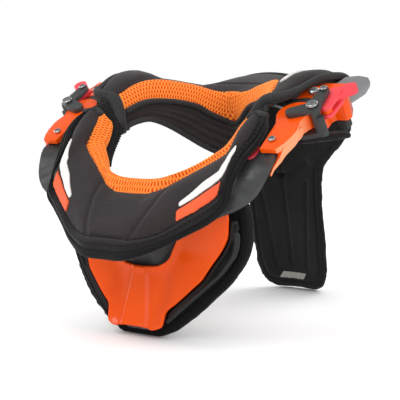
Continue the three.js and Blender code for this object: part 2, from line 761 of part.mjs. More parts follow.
// Strut pad as level sections: hollow towards the back of the wearer, thin at its sides.
function backStrut() {
  const shares = Array.from({ length: BACK_POINTS }, (_, i) => lerp(-1, 1, i / (BACK_POINTS - 1)));
  const rings = BACK_PAD.map(({ z, half }) => {
    const front = shares.map((f) => new Vector3(f * half, backFace({ x: f * half }, z), z));
    const back = front.map((p) => {
      const thin = THREE.MathUtils.smoothstep(Math.abs(p.x), BACK_THICK.from, BACK_THICK.to);
      return new Vector3(p.x, p.y + lerp(BACK_THICK.middle, BACK_THICK.edge, thin), z);
    });
    return [...front, ...back.reverse()];
  });
  return skin(rings);
}

// Flap lying under the rear arm, a flat sheet set on a slope.
function shoulderFlap() {
  const flap = slab(polygon(FLAP_OUTLINE), FLAP.foot, FLAP.foot + FLAP.thick);
  const slope = new THREE.Matrix4();
  slope.elements[6] = FLAP.rise;
  return flap.applyMatrix4(slope);
}

function buildRearHalf() {
  const thick = (place) => value(REAR, 'pad', place);
  const crown = (place) => value(REAR, 'crown', place);
  add(brace, 'rear_table_pad', paddedLoft(rearTable, rearList, {
    crown, thickIn: 3.5, thickOut: (place) => thick(place) - 1, cutIn: 5.5,
  }), charcoalCloth);
  add(brace, 'rear_table_binding', rearBinding(), blackBinding);
  add(brace, 'rear_collar_mesh', paddedLoft(tableFrames(REAR, 'line', 'seam', towardNeck), rearList, {
    crown: 2, thickIn: 4.5, thickOut: 3, cutIn: 2, cutOut: 5, points: 4,
  }), orangeMesh);
  add(brace, 'rear_lining', paddedLoft(tableFrames(REAR, 'foot', 'line', towardNeck), rearList, {
    crown: 1.5, thickIn: 6, thickOut: 4.5, cutOut: 2, points: 4,
  }), charcoalCloth);
  add(brace, 'rear_shell', rearShell(), greyNylon);
  add(brace, 'back_strut_pad', backStrut(), charcoalCloth);
  addPair(brace, 'shoulder_flap', shoulderFlap(), charcoalCloth);
  const strip = [
    { place: 7.2, from: 0.4, to: 0.54 },
    { place: 7.8, from: 0.31, to: 0.46 },
    { place: 8.4, from: 0.2, to: 0.36 },
  ];
  add(brace, 'rear_strip', patchLoft(rearTable, strip, rearList, crown), reflectiveTape);
  const patch = [0, 6, 12].map((x) => ({ x, foot: 6, top: 16, thick: PATCH_THICK }));
  const patchFace = (row, z) => backFace(row, z) - PATCH_LIFT - PATCH_THICK;
  add(brace, 'strut_patch', panel(patch, patchFace, 3), greyPatch);
}

// Closure on one side: front arm, rear arm, bail, lever and screws
function frontArmShape() {
  const shape = new THREE.Shape();
  shape.moveTo(ARM_SIDE[0].x, ARM_SIDE[0].v);
  ARM_SIDE.slice(1).forEach(({ x, v }) => shape.lineTo(x, v));
  const from = Math.atan2(ARM_NECK.v - KNUCKLE.v, ARM_NECK.x - KNUCKLE.x);
  shape.absarc(KNUCKLE.x, KNUCKLE.v, KNUCKLE.r, from, ARM_NECK.turn, false);
  ARM_INNER.forEach(({ x, v }) => shape.lineTo(x, v));
  return shape;
}

// Arm with a flat top and an underside that rises to its front end.
function frontArm() {
  const { shape: outline } = frontArmShape().extractPoints(ARC_STEPS);
  const foot = (v) => ARM.frontFoot - (v - ARM.front) * ARM.slope;
  const rings = [foot, () => ARM_TOP].map((height) => outline.map((p) => new Vector3(p.x, p.y, height(p.y))));
  const prong = PRONG.map((row) => [
    new Vector3(row.inner, row.v, row.foot),
    new Vector3(row.outer, row.v, row.foot),
    new Vector3(row.outer, row.v, row.top),
    new Vector3(row.inner, row.v, row.top),
  ]);
  return joined(skin(rings), skin(prong));
}

function socketShape() {
  const shape = new THREE.Shape();
  const [from, to] = [0.405 * Math.PI, 0.76 * Math.PI];
  shape.absarc(KNUCKLE.x, KNUCKLE.v, SOCKET.inner, from, to, false);
  shape.absarc(KNUCKLE.x, KNUCKLE.v, SOCKET.outer, to, from, true);
  return shape;
}

// Body behind the socket, cut away where the lever turns, with the lever's lug.
// Its rear end is lower, to pass under the rear pad.
function rearArm() {
  const body = polygon([
    { x: 101, v: 124 },
    { x: 105.5, v: 125.2 },
    { x: 111, v: 125.8 },
    { x: 116, v: 125.2 },
    { x: 120.2, v: 123.4 },
    { x: 120.2, v: 134.5 },
    { x: 123, v: 138 },
    { x: 123, v: 142 },
    { x: 101, v: 142 },
  ]);
  const tail = polygon([
    { x: 101, v: 138 },
    { x: 133, v: 138 },
    { x: 135, v: 143 },
    { x: 131, v: 154 },
    { x: 110, v: 154 },
    { x: 101, v: 148 },
  ]);
  const lugRoot = { x: 118, v: 129, r: 2.2 };
  return joined(
    slab(body, REAR_ARM_FOOT, REAR_ARM_TOP),
    slab(tail, REAR_ARM_FOOT, REAR_ARM_STEP),
    slab(belt(lugRoot, { ...LEVER_PIVOT, r: 4.6 }), LUG_FOOT, LUG_TOP),
  );
}

// Finger plate over the knuckle, barrel beside the arm and a foot under it.
function bail() {
  const tip = { x: KNUCKLE.x + 1, v: KNUCKLE.v - 4, r: 5.2 };
  const under = { x: 117, v: 97, r: 5 };
  const plate = BAIL_TOP - PLATE;
  return joined(
    slab(belt(tip, BOLT_AT), plate, BAIL_TOP),
    slab(belt(BOLT_AT, LINK_END), plate, BAIL_TOP),
    slab(belt(...BARREL), BAIL_FOOT, BAIL_TOP - 1),
    slab(belt(...BARREL, BARREL_SIDE), BAIL_FOOT, BARREL_SIDE.top),
    slab(belt(under, ...BARREL), BAIL_FOOT, BAIL_FOOT + PLATE),
  );
}

// Forked lever: two cheeks either side of the lug, and a thumb handle.
function lever() {
  const cheek = belt(LEVER_PIVOT, LINK_PIVOT, HANDLE_ROOT);
  return joined(
    slab(cheek, LEVER_FOOT, LUG_FOOT - GAP),
    slab(cheek, LUG_TOP + GAP, LEVER_TOP),
    slab(belt(HANDLE_ROOT), LEVER_FOOT + 1, LEVER_TOP - 1),
    slab(belt(HANDLE_ROOT, HANDLE), HANDLE_FOOT, HANDLE_TOP),
  );
}

// Grey webbing tab that hangs from the rear arm down to the flap.
function strapTab() {
  const { x, v, across, along, drop } = STRAP_TAB;
  const high = REAR_ARM_FOOT - GAP;
  return new THREE.BoxGeometry(across, along, drop).translate(x, v, high - drop / 2);
}

function buildClosures() {
  addPair(closure, 'front_arm', frontArm(), orangePlastic);
  addPair(closure, 'arm_screw', screw({ x: 111, v: 61.5 }, ARM_TOP + GAP, 3.2, 2.4), steel);
  addPair(closure, 'knuckle_socket', slab(socketShape(), SOCKET.foot, SOCKET.top), darkNylon);
  addPair(closure, 'rear_arm', rearArm(), orangePlastic);
  addPair(closure, 'rear_arm_screw', screw({ x: 114.4, v: 131 }, REAR_ARM_TOP + GAP, 4.6, 4.2), steel);
  addPair(closure, 'bail', bail(), darkNylon);
  addPair(closure, 'bail_bolt', screw(BOLT_AT, BAIL_TOP + GAP, 5, 2.6), steel);
  addPair(closure, 'link_screw', screw(LINK_PIVOT, BAIL_TOP + GAP, 3.2, 1.8), steel);
  addPair(closure, 'lever', lever(), redNylon);
  addPair(closure, 'strap_tab', strapTab(), greyNylon);
}

buildFrontHalf();
buildRearHalf();
buildClosures();

export default brace;
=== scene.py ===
import math
import bpy
import numpy as np
from mathutils import Matrix, Vector
from mathutils.bvhtree import BVHTree


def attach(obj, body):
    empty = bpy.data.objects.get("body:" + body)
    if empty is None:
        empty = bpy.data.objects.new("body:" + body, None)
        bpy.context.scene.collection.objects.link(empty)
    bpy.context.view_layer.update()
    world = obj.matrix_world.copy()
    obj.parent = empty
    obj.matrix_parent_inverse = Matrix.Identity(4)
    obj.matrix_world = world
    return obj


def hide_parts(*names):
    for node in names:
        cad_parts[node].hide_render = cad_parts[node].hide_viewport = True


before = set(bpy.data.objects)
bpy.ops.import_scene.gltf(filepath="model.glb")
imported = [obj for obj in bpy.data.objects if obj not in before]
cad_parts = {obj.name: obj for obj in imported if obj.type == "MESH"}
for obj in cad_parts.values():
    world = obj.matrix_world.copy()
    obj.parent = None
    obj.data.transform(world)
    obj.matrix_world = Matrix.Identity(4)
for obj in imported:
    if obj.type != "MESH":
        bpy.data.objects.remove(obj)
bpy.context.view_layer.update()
scene = bpy.context.scene

SIDES = (("left", 1), ("right", -1))
MM = 0.001
# The lines below are in millimetres on the wearer's left, before the brace was centred by this shift.
SHIFT = 50.81
CLOSURE_TILT = math.radians(33)


def table(headings, *rows):
    """Rows of values, each under its heading."""
    return [dict(zip(headings, row, strict=True)) for row in rows]


FRONT = table(
    ("edge", "seam", "rim", "hem", "wall"),
    ((0, -60, 130), (0, -69, 121), (0, -105, 84), (0, -106, 69), 24),
    ((19, -60, 131), (23, -67, 123), (21, -104, 84), (21, -106, 70), 24),
    ((31, -57, 134), (37, -59, 131), (42.5, -94.5, 89), (43, -96, 78), 18),
    ((40, -51, 137), (47, -53, 137), (61.5, -84.7, 100), (64, -82, 90), 9),
    ((50, -41, 144), (58, -46, 144), (77, -76, 110.5), (80, -73, 100), 6),
    ((63, -29, 156), (75, -36, 155), (86.5, -71, 119.5), (92, -69, 112), 6.5),
    ((65, -22, 162), (75, -31, 161), (88, -62.5, 135.5), (92, -63, 129), 6),
    ((67, -16, 168), (75, -25, 169), (89, -48, 153), (96, -50, 148), 5),
    ((70, -11, 174), (76, -18, 176), (94, -35, 166), (101, -36, 162), 4),
    ((75, -11, 178), (79, -14, 180), (94, -24, 176), (101, -24, 173), 3),
    ((79, -12, 180), (84, -13, 182), (91, -17, 181), (96, -15, 181), 3),
)
FRONT_MESH_END = 8.6
MESH_TAB = table(
    ("high", "low"),
    ((52.5, -37.5, 140), (51.5, -35.5, 135.5)), ((61.5, -28, 148.3), (58.5, -25, 141)),
    ((64, -20.5, 155.7), (62.5, -15.5, 148.5)), ((66.2, -14.5, 162.5), (64, -6, 159)),
    ((70, -9.5, 169.8), (65, 1, 169)), ((77.5, -9, 177.5), (69, 2.5, 179.5)),
    ((86.5, -9.5, 183), (77, 3.2, 188)), ((93, -8.5, 185.5), (87, 3, 191.5)),
)
REAR = table(
    ("rim", "seam", "line", "foot"),
    ((0, 142, 216), (0, 76, 196), (0, 84, 171), (0, 76, 140)),
    ((20, 141, 213.5), (11, 75, 197), (10, 78, 175), (11, 71, 143)),
    ((37, 137, 209.5), (21, 73, 200), (19, 70, 180), (22, 64, 149)),
    ((57, 130, 198), (32, 70, 204), (28, 64, 186), (33, 56, 157)),
    ((85, 116, 201), (47, 62, 207.5), (43, 54, 190), (45, 46, 166)),
    ((104, 100, 206), (59, 52, 209.5), (53, 46, 191), (53, 38, 171)),
    ((111, 84, 213.5), (67, 43, 209), (59, 39, 191), (58, 31, 173)),
    ((111, 66, 215.5), (72, 35, 207), (63, 31, 190), (62, 24, 172)),
    ((108, 46, 214), (76, 26, 203), (67, 23, 187), (65, 17, 170)),
    ((105, 29, 208.5), (79, 18.5, 198.5), (70, 15, 183), (67, 10, 167)),
    ((101, 14, 200.5), (81, 12, 195.5), (72, 8, 180), (69, 5, 164)),
)
# Chest: front face of the pad in the middle and at its side, then plate, grip and pad edges.
CHEST_SIDE = 88
CHEST_FACE = table(
    ("z", "middle", "side"),
    (0, -60, -60), (27, -54.6, -53), (43, -51.4, -46), (61, -47.8, -40), (80, -46, -40),
    (120, -53.5, -52.5),
)
CHEST_PLATE = table(
    ("x", "foot", "top"),
    (0, 8.9, 58.3), (12, 8.9, 58.5), (18, 7.7, 59.8), (25, 9.3, 64), (28, 11.5, 67.5), (29.6, 22, 72),
    (38, 30.3, 88), (46, 38, 94.5), (53, 45, 97), (58.5, 50.5, 99), (61.5, 56, 100.7), (66, 63.4, 103),
    (74, 75, 106), (80, 86, 108), (82.2, 95, 108.6), (84, 103, 109),
)
CHEST_GRIP = table(
    ("x", "foot", "top"),
    (30.6, 12.8, 21.8), (38, 19.5, 29.2), (46, 27, 36.9), (53, 33.5, 43.9), (58.7, 39, 49.5),
    (62, 42.2, 55.2), (66.5, 46.5, 62.8), (74.6, 55, 74.6), (80.8, 64, 86.2), (83, 67.2, 95.2),
    (85.4, 71, 100.2), (88.3, 79.5, 100.8), (90, 90, 100.8),
)
NOTCH_INSERT = table(
    ("x", "foot", "top"),
    (0, 6, 13), (8, 6, 13), (11.5, 6.4, 13),
)
CHEST_EDGE = table(
    ("x", "z"),
    (0, 0), (20, 0), (34, 5.6), (43, 12.6), (52, 19.4), (60, 26.2), (68, 34.5), (76, 42.6), (81, 49),
    (87.3, 60), (92.2, 69.5), (94.8, 81), (96.6, 96), (96.6, 113),
)
STRUT_EDGE = table(
    ("x", "z"),
    (31, 4), (37, 12), (41, 25), (43, 60), (43.7, 89), (45.5, 110), (49, 126), (59.5, 137), (71, 146),
    (81, 156),
)


# Lines and small helpers
def spot(point):
    return Vector((point[0], point[1] - SHIFT, point[2])) * MM


def metres(line):
    return np.array([spot(p) for p in line])


def flip(point):
    return (-point[0], point[1], point[2])


def unit(rows):
    rows = np.asarray(rows, float)
    return rows / np.maximum(np.linalg.norm(rows, axis=-1, keepdims=True), 1e-9)


def smooth_points(points, shares):
    """Points at shares 0 to 1 of a smooth line through the given ones, even between neighbours."""
    p = [np.array(q, float) for q in points]
    p = [2 * p[0] - p[1]] + p + [2 * p[-1] - p[-2]]
    found = []
    for share in shares:
        at = min(share, 1) * (len(points) - 1)
        i = min(int(at), len(points) - 2)
        w = at - i
        a, b, c, d = p[i:i + 4]
        t0, t1, t2 = (max(np.linalg.norm(v - u) ** 0.5, 1e-6) for u, v in ((a, b), (b, c), (c, d)))
        m1 = ((b - a) / t0 - (c - a) / (t0 + t1) + (c - b) / t1) * t1
        m2 = ((c - b) / t1 - (d - b) / (t1 + t2) + (d - c) / t2) * t1
        found.append(b + m1 * w + (3 * (c - b) - 2 * m1 - m2) * w ** 2 + (2 * (b - c) + m1 + m2) * w ** 3)
    return np.array(found)


def trace(rows, column, places):
    """Points of one column at places counted in rows from the middle, both sides of the body."""
    half = [row[column] for row in rows]
    end = len(rows) - 1
    return smooth_points([flip(p) for p in half[:0:-1]] + half, [(place / end + 1) / 2 for place in places])


def run_of(points):
    return np.r_[0, np.cumsum(np.linalg.norm(np.diff(points, axis=0), axis=1))]


def even(points, step):
    """The same line with points at even steps."""
    points = np.asarray(points, float)
    run = run_of(points)
    marks = np.linspace(0, run[-1], max(int(round(run[-1] / step)), 2) + 1)
    return np.stack([np.interp(marks, run, points[:, i]) for i in range(points.shape[1])], 1)


def places_by_length(rows, column, last, step):
    """Places from one end to the other, about one step of length apart."""
    fine = np.linspace(-last, last, 600)
    run = run_of(trace(rows, column, fine))
    return np.interp(np.linspace(0, run[-1], int(run[-1] / step)), run, fine)


def facing_of(rows, inner, outer, places, usual):
    """Way outwards and way up along a padded table."""
    a, b = trace(rows, inner, places), trace(rows, outer, places)
    u = unit(b - a)
    n = unit(np.cross(u, np.gradient(a + b, axis=0)))
    return u, n * np.sign(n @ np.array(usual))[:, None]


def distance_to(points, line):
    """Distance of each point to a line of short straight pieces."""
    best = np.full(len(points), 1e9)
    for a, b in zip(line[:-1], line[1:]):
        ab = b - a
        share = np.clip(((points - a) @ ab) / max(ab @ ab, 1e-12), 0, 1)
        best = np.minimum(best, np.linalg.norm(points - a - share[:, None] * ab, axis=1))
    return best


def inset_line(line, distance):
    """Line moved inwards, towards the middle of what it goes round."""
    flat = line[:, [0, 2]]
    way = unit(np.gradient(flat, axis=0))
    side = np.stack([-way[:, 1], way[:, 0]], 1)
    if ((flat.mean(0) - flat) * side).sum() < 0:
        side = -side
    moved = line.copy()
    moved[:, [0, 2]] = flat + side * distance
    return moved


# Pieces
def select_only(piece):
    bpy.ops.object.select_all(action="DESELECT")
    piece.select_set(True)
    bpy.context.view_layer.objects.active = piece


def apply_modifier(piece, kind, **settings):
    select_only(piece)
    modifier = piece.modifiers.new(kind.title(), kind)
    for key, value in settings.items():
        setattr(modifier, key, value)
    bpy.ops.object.modifier_apply(modifier=modifier.name)


def smooth_faces(piece, angle=35):
    select_only(piece)
    bpy.ops.object.shade_smooth_by_angle(angle=math.radians(angle))


def link_mesh(name, points, faces):
    mesh = bpy.data.meshes.new(name)
    mesh.from_pydata([tuple(p) for p in points], [], [tuple(int(i) for i in f) for f in faces])
    piece = bpy.data.objects.new(name, mesh)
    bpy.context.collection.objects.link(piece)
    return piece


def outward(piece):
    select_only(piece)
    bpy.ops.object.mode_set(mode="EDIT")
    bpy.ops.mesh.select_all(action="SELECT")
    bpy.ops.mesh.normals_make_consistent(inside=False)
    bpy.ops.object.mode_set(mode="OBJECT")


def cad_copy(node, name):
    """Copy of a solid with its corners merged, ready to be shaped."""
    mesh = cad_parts[node].data.copy()
    mesh.materials.clear()
    piece = bpy.data.objects.new(name, mesh)
    bpy.context.collection.objects.link(piece)
    select_only(piece)
    bpy.ops.object.mode_set(mode="EDIT")
    bpy.ops.mesh.select_all(action="SELECT")
    bpy.ops.mesh.remove_doubles(threshold=0.00002)
    bpy.ops.object.mode_set(mode="OBJECT")
    return piece


def read_points(piece, what="co"):
    flat = np.empty(len(piece.data.vertices) * 3)
    piece.data.vertices.foreach_get(what, flat)
    return flat.reshape(-1, 3)


def move_points(piece, points):
    piece.data.vertices.foreach_set("co", np.asarray(points, float).ravel())
    piece.data.update()


def mark_points(piece, name, values):
    held = piece.data.attributes.new(name, "FLOAT", "POINT")
    held.data.foreach_set("value", np.asarray(values, float).ravel())


def tree_of(piece):
    return BVHTree.FromPolygons([v.co.copy() for v in piece.data.vertices],
                                [tuple(p.vertices) for p in piece.data.polygons])


def on_surface(piece, line, step, lift=0.0):
    """Even points of a line laid on a piece, with the surface's facing at each."""
    tree = tree_of(piece)
    laid = []
    for point in even(line, step):
        where, normal, _, _ = tree.find_nearest(Vector(point))
        laid.append((where + normal * lift, normal))
    return laid


def face_line(piece, line, toward=(0, -1, 0)):
    """Line moved onto the side of a piece that faces one way."""
    tree = tree_of(piece)
    toward = Vector(toward)
    hits = [tree.ray_cast(Vector(p) + toward * 0.4, -toward)[0] for p in line]
    return np.array([where for where in hits if where])


def press_line(piece, line, depth, width):
    """Sews a channel into a padded piece along a line that lies on it."""
    laid = np.array([p for p, _ in on_surface(piece, line, 0.003)])
    points = read_points(piece)
    fall = np.exp(-(distance_to(points, laid) / width) ** 2)
    move_points(piece, points - read_points(piece, "normal") * (depth * fall)[:, None])


FILL_FRAMES = 16


def inflate(piece, pressure, most):
    """Fills a padded piece: cloth under pressure, held to a small swell."""
    before = read_points(piece)
    select_only(piece)
    cloth = piece.modifiers.new("Fill", "CLOTH")
    cloth.settings.use_pressure = True
    cloth.settings.uniform_pressure_force = pressure
    cloth.settings.effector_weights.gravity = 0
    cloth.settings.tension_stiffness = 20
    cloth.settings.compression_stiffness = 20
    cloth.point_cache.frame_end = FILL_FRAMES
    for step in range(1, FILL_FRAMES + 1):
        scene.frame_set(step)
    bpy.ops.object.modifier_apply(modifier=cloth.name)
    scene.frame_set(1)
    move = read_points(piece) - before
    length = np.linalg.norm(move, axis=1)
    move_points(piece, before + move * np.minimum(1, most / np.maximum(length, 1e-9))[:, None])


def padded_copy(node, name, voxel=0.002, shrink=0.0006, swell=0.0016, rounding=9):
    """Stuffed piece in the place of a soft solid."""
    piece = cad_copy(node, name)
    apply_modifier(piece, "REMESH", mode="VOXEL", voxel_size=voxel)
    apply_modifier(piece, "SMOOTH", factor=0.5, iterations=rounding)
    move_points(piece, read_points(piece) - read_points(piece, "normal") * shrink)
    inflate(piece, pressure=4, most=swell)
    apply_modifier(piece, "SUBSURF", levels=1, render_levels=1)
    select_only(piece)
    bpy.ops.object.shade_smooth()
    return piece


def moulded_copy(node, name, edge):
    """Hard piece: the solid with its edges rounded as a mould leaves them."""
    piece = cad_copy(node, name)
    select_only(piece)
    bpy.ops.object.mode_set(mode="EDIT")
    bpy.ops.mesh.select_all(action="SELECT")
    bpy.ops.mesh.dissolve_limited(angle_limit=math.radians(3))
    bpy.ops.object.mode_set(mode="OBJECT")
    apply_modifier(piece, "TRIANGULATE", min_vertices=5, ngon_method="CLIP")
    apply_modifier(piece, "BEVEL", width=edge, segments=3, limit_method="ANGLE",
                   angle_limit=math.radians(30), harden_normals=False)
    smooth_faces(piece, 40)
    return piece


def loft(name, rings, angle=60):
    """Closed skin over rings of points in metres, capped at both ends."""
    count = len(rings[0])
    points = [tuple(p) for ring in rings for p in ring]
    faces = []
    for i in range(len(rings) - 1):
        for j in range(count):
            k = (j + 1) % count
            faces.append((i * count + j, i * count + k, (i + 1) * count + k, (i + 1) * count + j))
    faces.append(range(count))
    faces.append(range((len(rings) - 1) * count, len(rings) * count))
    piece = link_mesh(name, points, faces)
    outward(piece)
    smooth_faces(piece, angle)
    return piece


def tube(name, line, radius, flat=1.0, sides=10):
    """Round piping along a line of points in metres, drawn in at its ends; radius may vary along it."""
    line = np.asarray(line, float)
    along = unit(np.gradient(line, axis=0))
    side = unit(np.cross(along, (0, 0, 1)))
    up = np.cross(side, along)
    grow = np.zeros(len(line)) + radius
    grow[[0, -1]] *= 0.35
    angles = np.linspace(0, 2 * math.pi, sides, endpoint=False)
    rings = [line + (side * math.cos(a) + up * (flat * math.sin(a))) * grow[:, None] for a in angles]
    return loft(name, np.stack(rings, 1), 50)


def round_ring(points, count):
    """Smooth closed ring through a few points."""
    points = [np.asarray(p, float) for p in points]
    looped = points[-2:] + points + points[:2]
    last = len(looped) - 1
    return smooth_points(looped, [(2 + len(points) * i / count) / last for i in range(count)])


def small_shape(kind, **settings):
    bpy.ops.object.select_all(action="DESELECT")
    getattr(bpy.ops.mesh, kind)(**settings)
    return bpy.context.active_object


def stitch_row(name, piece, line, pitch=0.0042, thread=0.00045, length=0.0028):
    """Row of thread stitches laid on a piece."""
    template = small_shape("primitive_uv_sphere_add", segments=6, ring_count=4, radius=1)
    base = [Vector(p * (length / 2, thread, thread)) for p in read_points(template)]
    shape = [tuple(p.vertices) for p in template.data.polygons]
    laid = on_surface(piece, line, pitch, thread * 0.3)
    points = []
    faces = []
    for (a, n), (b, _) in zip(laid[:-1], laid[1:]):
        if (b - a).length < pitch * 0.3:
            continue
        x = (b - a).normalized()
        z = (n - x * n.dot(x)).normalized()
        turn = Matrix((x, z.cross(x), z)).transposed()
        start = len(points)
        points += [(a + b) / 2 + turn @ p for p in base]
        faces += [tuple(start + i for i in f) for f in shape]
    bpy.data.objects.remove(template)
    row = link_mesh(name, points, faces)
    smooth_faces(row, 60)
    return row


# Materials
# Sockets of a Mix node that mixes colours, and of one that mixes numbers
FIRST_COLOUR = 6
SECOND_COLOUR = 7
MIXED_COLOUR = 2
FIRST_NUMBER = 2
SECOND_NUMBER = 3
# Sizes in millimetres of wear on cloth, its nap, uneven colour in plastic, twist of a thread and polish
WEAR_MM = 45
NAP_MM = 1.6
SHADE_MM = 30
TWIST_MM = 1.2
POLISH_MM = 0.8
# Heights in millimetres of a thread and of mould grain, and the gloss of a smooth moulded face
THREAD_HIGH = 0.4
GRAIN_HIGH = 0.3
SMOOTH_GLOSS = 0.2


def linear(code):
    """Linear colour of an sRGB hex value."""
    channels = [int(code[i:i + 2], 16) / 255 for i in (1, 3, 5)]
    return tuple(c / 12.92 if c <= 0.04045 else ((c + 0.055) / 1.055) ** 2.4 for c in channels) + (1.0,)


def new_material(name):
    material = bpy.data.materials.new(name)
    material.use_nodes = True
    material.node_tree.nodes.clear()
    return material


def add(material, kind, inputs=None, out=0, **settings):
    """Adds one node with its settings, links or sets its inputs, and gives one of its outputs."""
    made = material.node_tree.nodes.new(kind)
    for key, value in settings.items():
        setattr(made, key, value)
    for key, value in (inputs or {}).items():
        if isinstance(value, bpy.types.NodeSocket):
            material.node_tree.links.new(value, made.inputs[key])
        else:
            made.inputs[key].default_value = value
    return made.outputs[out] if made.outputs else None


def knitted_cloth(name, dark, light, thread_mm, raised, sheen=0.12, roughness=0.9, marked=None):
    """Knit or weave: threads in relief, broad wear, and a nap that pales where light grazes it.

    marked names a point attribute and the colour the cloth has where it is 1."""
    m = new_material(name)
    where = add(m, "ShaderNodeTexCoord", out="Object")
    threads = add(m, "ShaderNodeTexVoronoi", {"Vector": where, "Scale": 1000 / thread_mm, "Randomness": 0.55})
    wear = add(m, "ShaderNodeTexNoise", {"Vector": where, "Scale": 1000 / WEAR_MM, "Detail": 5.0})
    nap = add(m, "ShaderNodeTexNoise", {"Vector": where, "Scale": 1000 / NAP_MM, "Detail": 2.0})
    both = add(m, "ShaderNodeMath", {0: wear, 1: nap}, operation="ADD")
    share = add(m, "ShaderNodeMapRange", {"Value": both, "From Min": 0.75, "From Max": 1.3})
    dyes = {"Factor": share, FIRST_COLOUR: linear(dark), SECOND_COLOUR: linear(light)}
    colour = add(m, "ShaderNodeMix", dyes, MIXED_COLOUR, data_type="RGBA")
    if marked:
        there = add(m, "ShaderNodeAttribute", out="Fac", attribute_name=marked[0])
        dyes = {"Factor": there, FIRST_COLOUR: colour, SECOND_COLOUR: linear(marked[1])}
        colour = add(m, "ShaderNodeMix", dyes, MIXED_COLOUR, data_type="RGBA")
    relief = add(m, "ShaderNodeBump", {"Height": threads, "Strength": raised, "Distance": THREAD_HIGH * MM})
    shader = add(m, "ShaderNodeBsdfPrincipled", {
        "Base Color": colour, "Roughness": roughness, "Sheen Weight": sheen, "Sheen Roughness": 0.5,
        "Normal": relief, "Specular IOR Level": 0.2,
    })
    add(m, "ShaderNodeOutputMaterial", {"Surface": shader})
    return m


def moulded_plastic(name, dark, light, roughness, grain_mm, raised, coat=0.0, specular=0.5, marked=None):
    """Injection moulded nylon or rubber: even colour, and a fine spark-eroded grain in its gloss.

    marked names a point attribute and the colour of the smoother face where it is 1; on the arms' outer flank
    that colour is a painted reflection, and on the grips' rim a painted highlight."""
    m = new_material(name)
    where = add(m, "ShaderNodeTexCoord", out="Object")
    grain = add(m, "ShaderNodeTexNoise", {"Vector": where, "Scale": 1000 / grain_mm, "Detail": 3.0})
    shade = add(m, "ShaderNodeTexNoise", {"Vector": where, "Scale": 1000 / SHADE_MM, "Detail": 4.0})
    dyes = {"Factor": shade, FIRST_COLOUR: linear(dark), SECOND_COLOUR: linear(light)}
    colour = add(m, "ShaderNodeMix", dyes, MIXED_COLOUR, data_type="RGBA")
    dull = {"Value": grain, "To Min": roughness * 0.85, "To Max": roughness * 1.2}
    gloss = add(m, "ShaderNodeMapRange", dull)
    if marked:
        there = add(m, "ShaderNodeAttribute", out="Fac", attribute_name=marked[0])
        dyes = {"Factor": there, FIRST_COLOUR: colour, SECOND_COLOUR: linear(marked[1])}
        colour = add(m, "ShaderNodeMix", dyes, MIXED_COLOUR, data_type="RGBA")
        gloss = add(m, "ShaderNodeMix", {"Factor": there, FIRST_NUMBER: gloss, SECOND_NUMBER: SMOOTH_GLOSS})
    relief = add(m, "ShaderNodeBump", {"Height": grain, "Strength": raised, "Distance": GRAIN_HIGH * MM})
    shader = add(m, "ShaderNodeBsdfPrincipled", {
        "Base Color": colour, "Roughness": gloss, "Normal": relief, "Coat Weight": coat,
        "Coat Roughness": 0.1, "Specular IOR Level": specular,
    })
    add(m, "ShaderNodeOutputMaterial", {"Surface": shader})
    return m


def spacer_mesh(name, thread, pale, hole, sheen):
    """Knitted polyester spacer mesh: threads round deep oval holes that have painted shade, on a black
    backing.
    """
    m = new_material(name)
    where = add(m, "ShaderNodeTexCoord", out="Object")
    twist = add(m, "ShaderNodeTexNoise", {"Vector": where, "Scale": 1000 / TWIST_MM, "Detail": 3.0})
    dyes = {"Factor": twist, FIRST_COLOUR: linear(thread), SECOND_COLOUR: linear(pale)}
    threads = add(m, "ShaderNodeMix", dyes, MIXED_COLOUR, data_type="RGBA")
    # Painted shade in the holes: a darker colour, deepest in the middle of each hole
    depth = add(m, "ShaderNodeAttribute", out="Fac", attribute_name="hole")
    dyes = {"Factor": depth, FIRST_COLOUR: threads, SECOND_COLOUR: linear(hole)}
    face = add(m, "ShaderNodeMix", dyes, MIXED_COLOUR, data_type="RGBA")
    behind = add(m, "ShaderNodeAttribute", out="Fac", attribute_name="backing")
    dyes = {"Factor": behind, FIRST_COLOUR: face, SECOND_COLOUR: linear("#141414")}
    colour = add(m, "ShaderNodeMix", dyes, MIXED_COLOUR, data_type="RGBA")
    relief = add(m, "ShaderNodeBump", {"Height": twist, "Strength": 0.35, "Distance": THREAD_HIGH * MM})
    shader = add(m, "ShaderNodeBsdfPrincipled", {
        "Base Color": colour, "Roughness": 0.75, "Sheen Weight": sheen, "Normal": relief,
        "Specular IOR Level": 0.2,
    })
    add(m, "ShaderNodeOutputMaterial", {"Surface": shader})
    return m


# Jersey loops are about 0.5 mm and mould grain about 0.2 mm: both are drawn coarser here, so that they show.
# Brushed jersey on the tables: warm charcoal, soft, with no shine
charcoal_jersey = knitted_cloth("charcoal brushed jersey", "#282223", "#352E2F", thread_mm=0.9, raised=0.35)
# The same jersey dyed black, on strut and shoulder flaps
black_cloth = knitted_cloth("black brushed jersey", "#181717", "#222121", thread_mm=0.9, raised=0.35)
# Cloth bonded to the chest foam: nearly black, with little nap
black_foam_cloth = knitted_cloth("black bonded foam cloth", "#0A0A0A", "#121212", thread_mm=0.9, raised=0.35,
                                 sheen=0.08)
# Binding of the front table: coarse and black, with a softer charcoal roll above it
lip_cloth = knitted_cloth("black woven binding with jersey roll", "#101010", "#191818", thread_mm=1.1,
                          raised=0.5, marked=("roll", "#201D1D"))
# Woven binding and piping: coarser, and a little shinier than jersey
black_binding = knitted_cloth("black woven binding", "#2A2A2A", "#383737", thread_mm=1.1, raised=0.6,
                              sheen=0.08, roughness=0.8)
# Bonded thread: tight, black and slightly waxy
stitch_thread = knitted_cloth("black bonded thread", "#060606", "#101010", thread_mm=0.6, raised=0.4,
                              sheen=0.05, roughness=0.6)
# Webbing: coarse dark grey weave
dark_webbing = knitted_cloth("dark grey webbing", "#2C2C2D", "#3A3A3B", thread_mm=1.2, raised=0.6,
                             sheen=0.08, roughness=0.8)
# Patch: pale grey weave, worn uneven
grey_print = knitted_cloth("pale grey printed patch", "#8F8B86", "#ABA7A2", thread_mm=1.0, raised=0.3,
                           sheen=0.05, roughness=0.7)
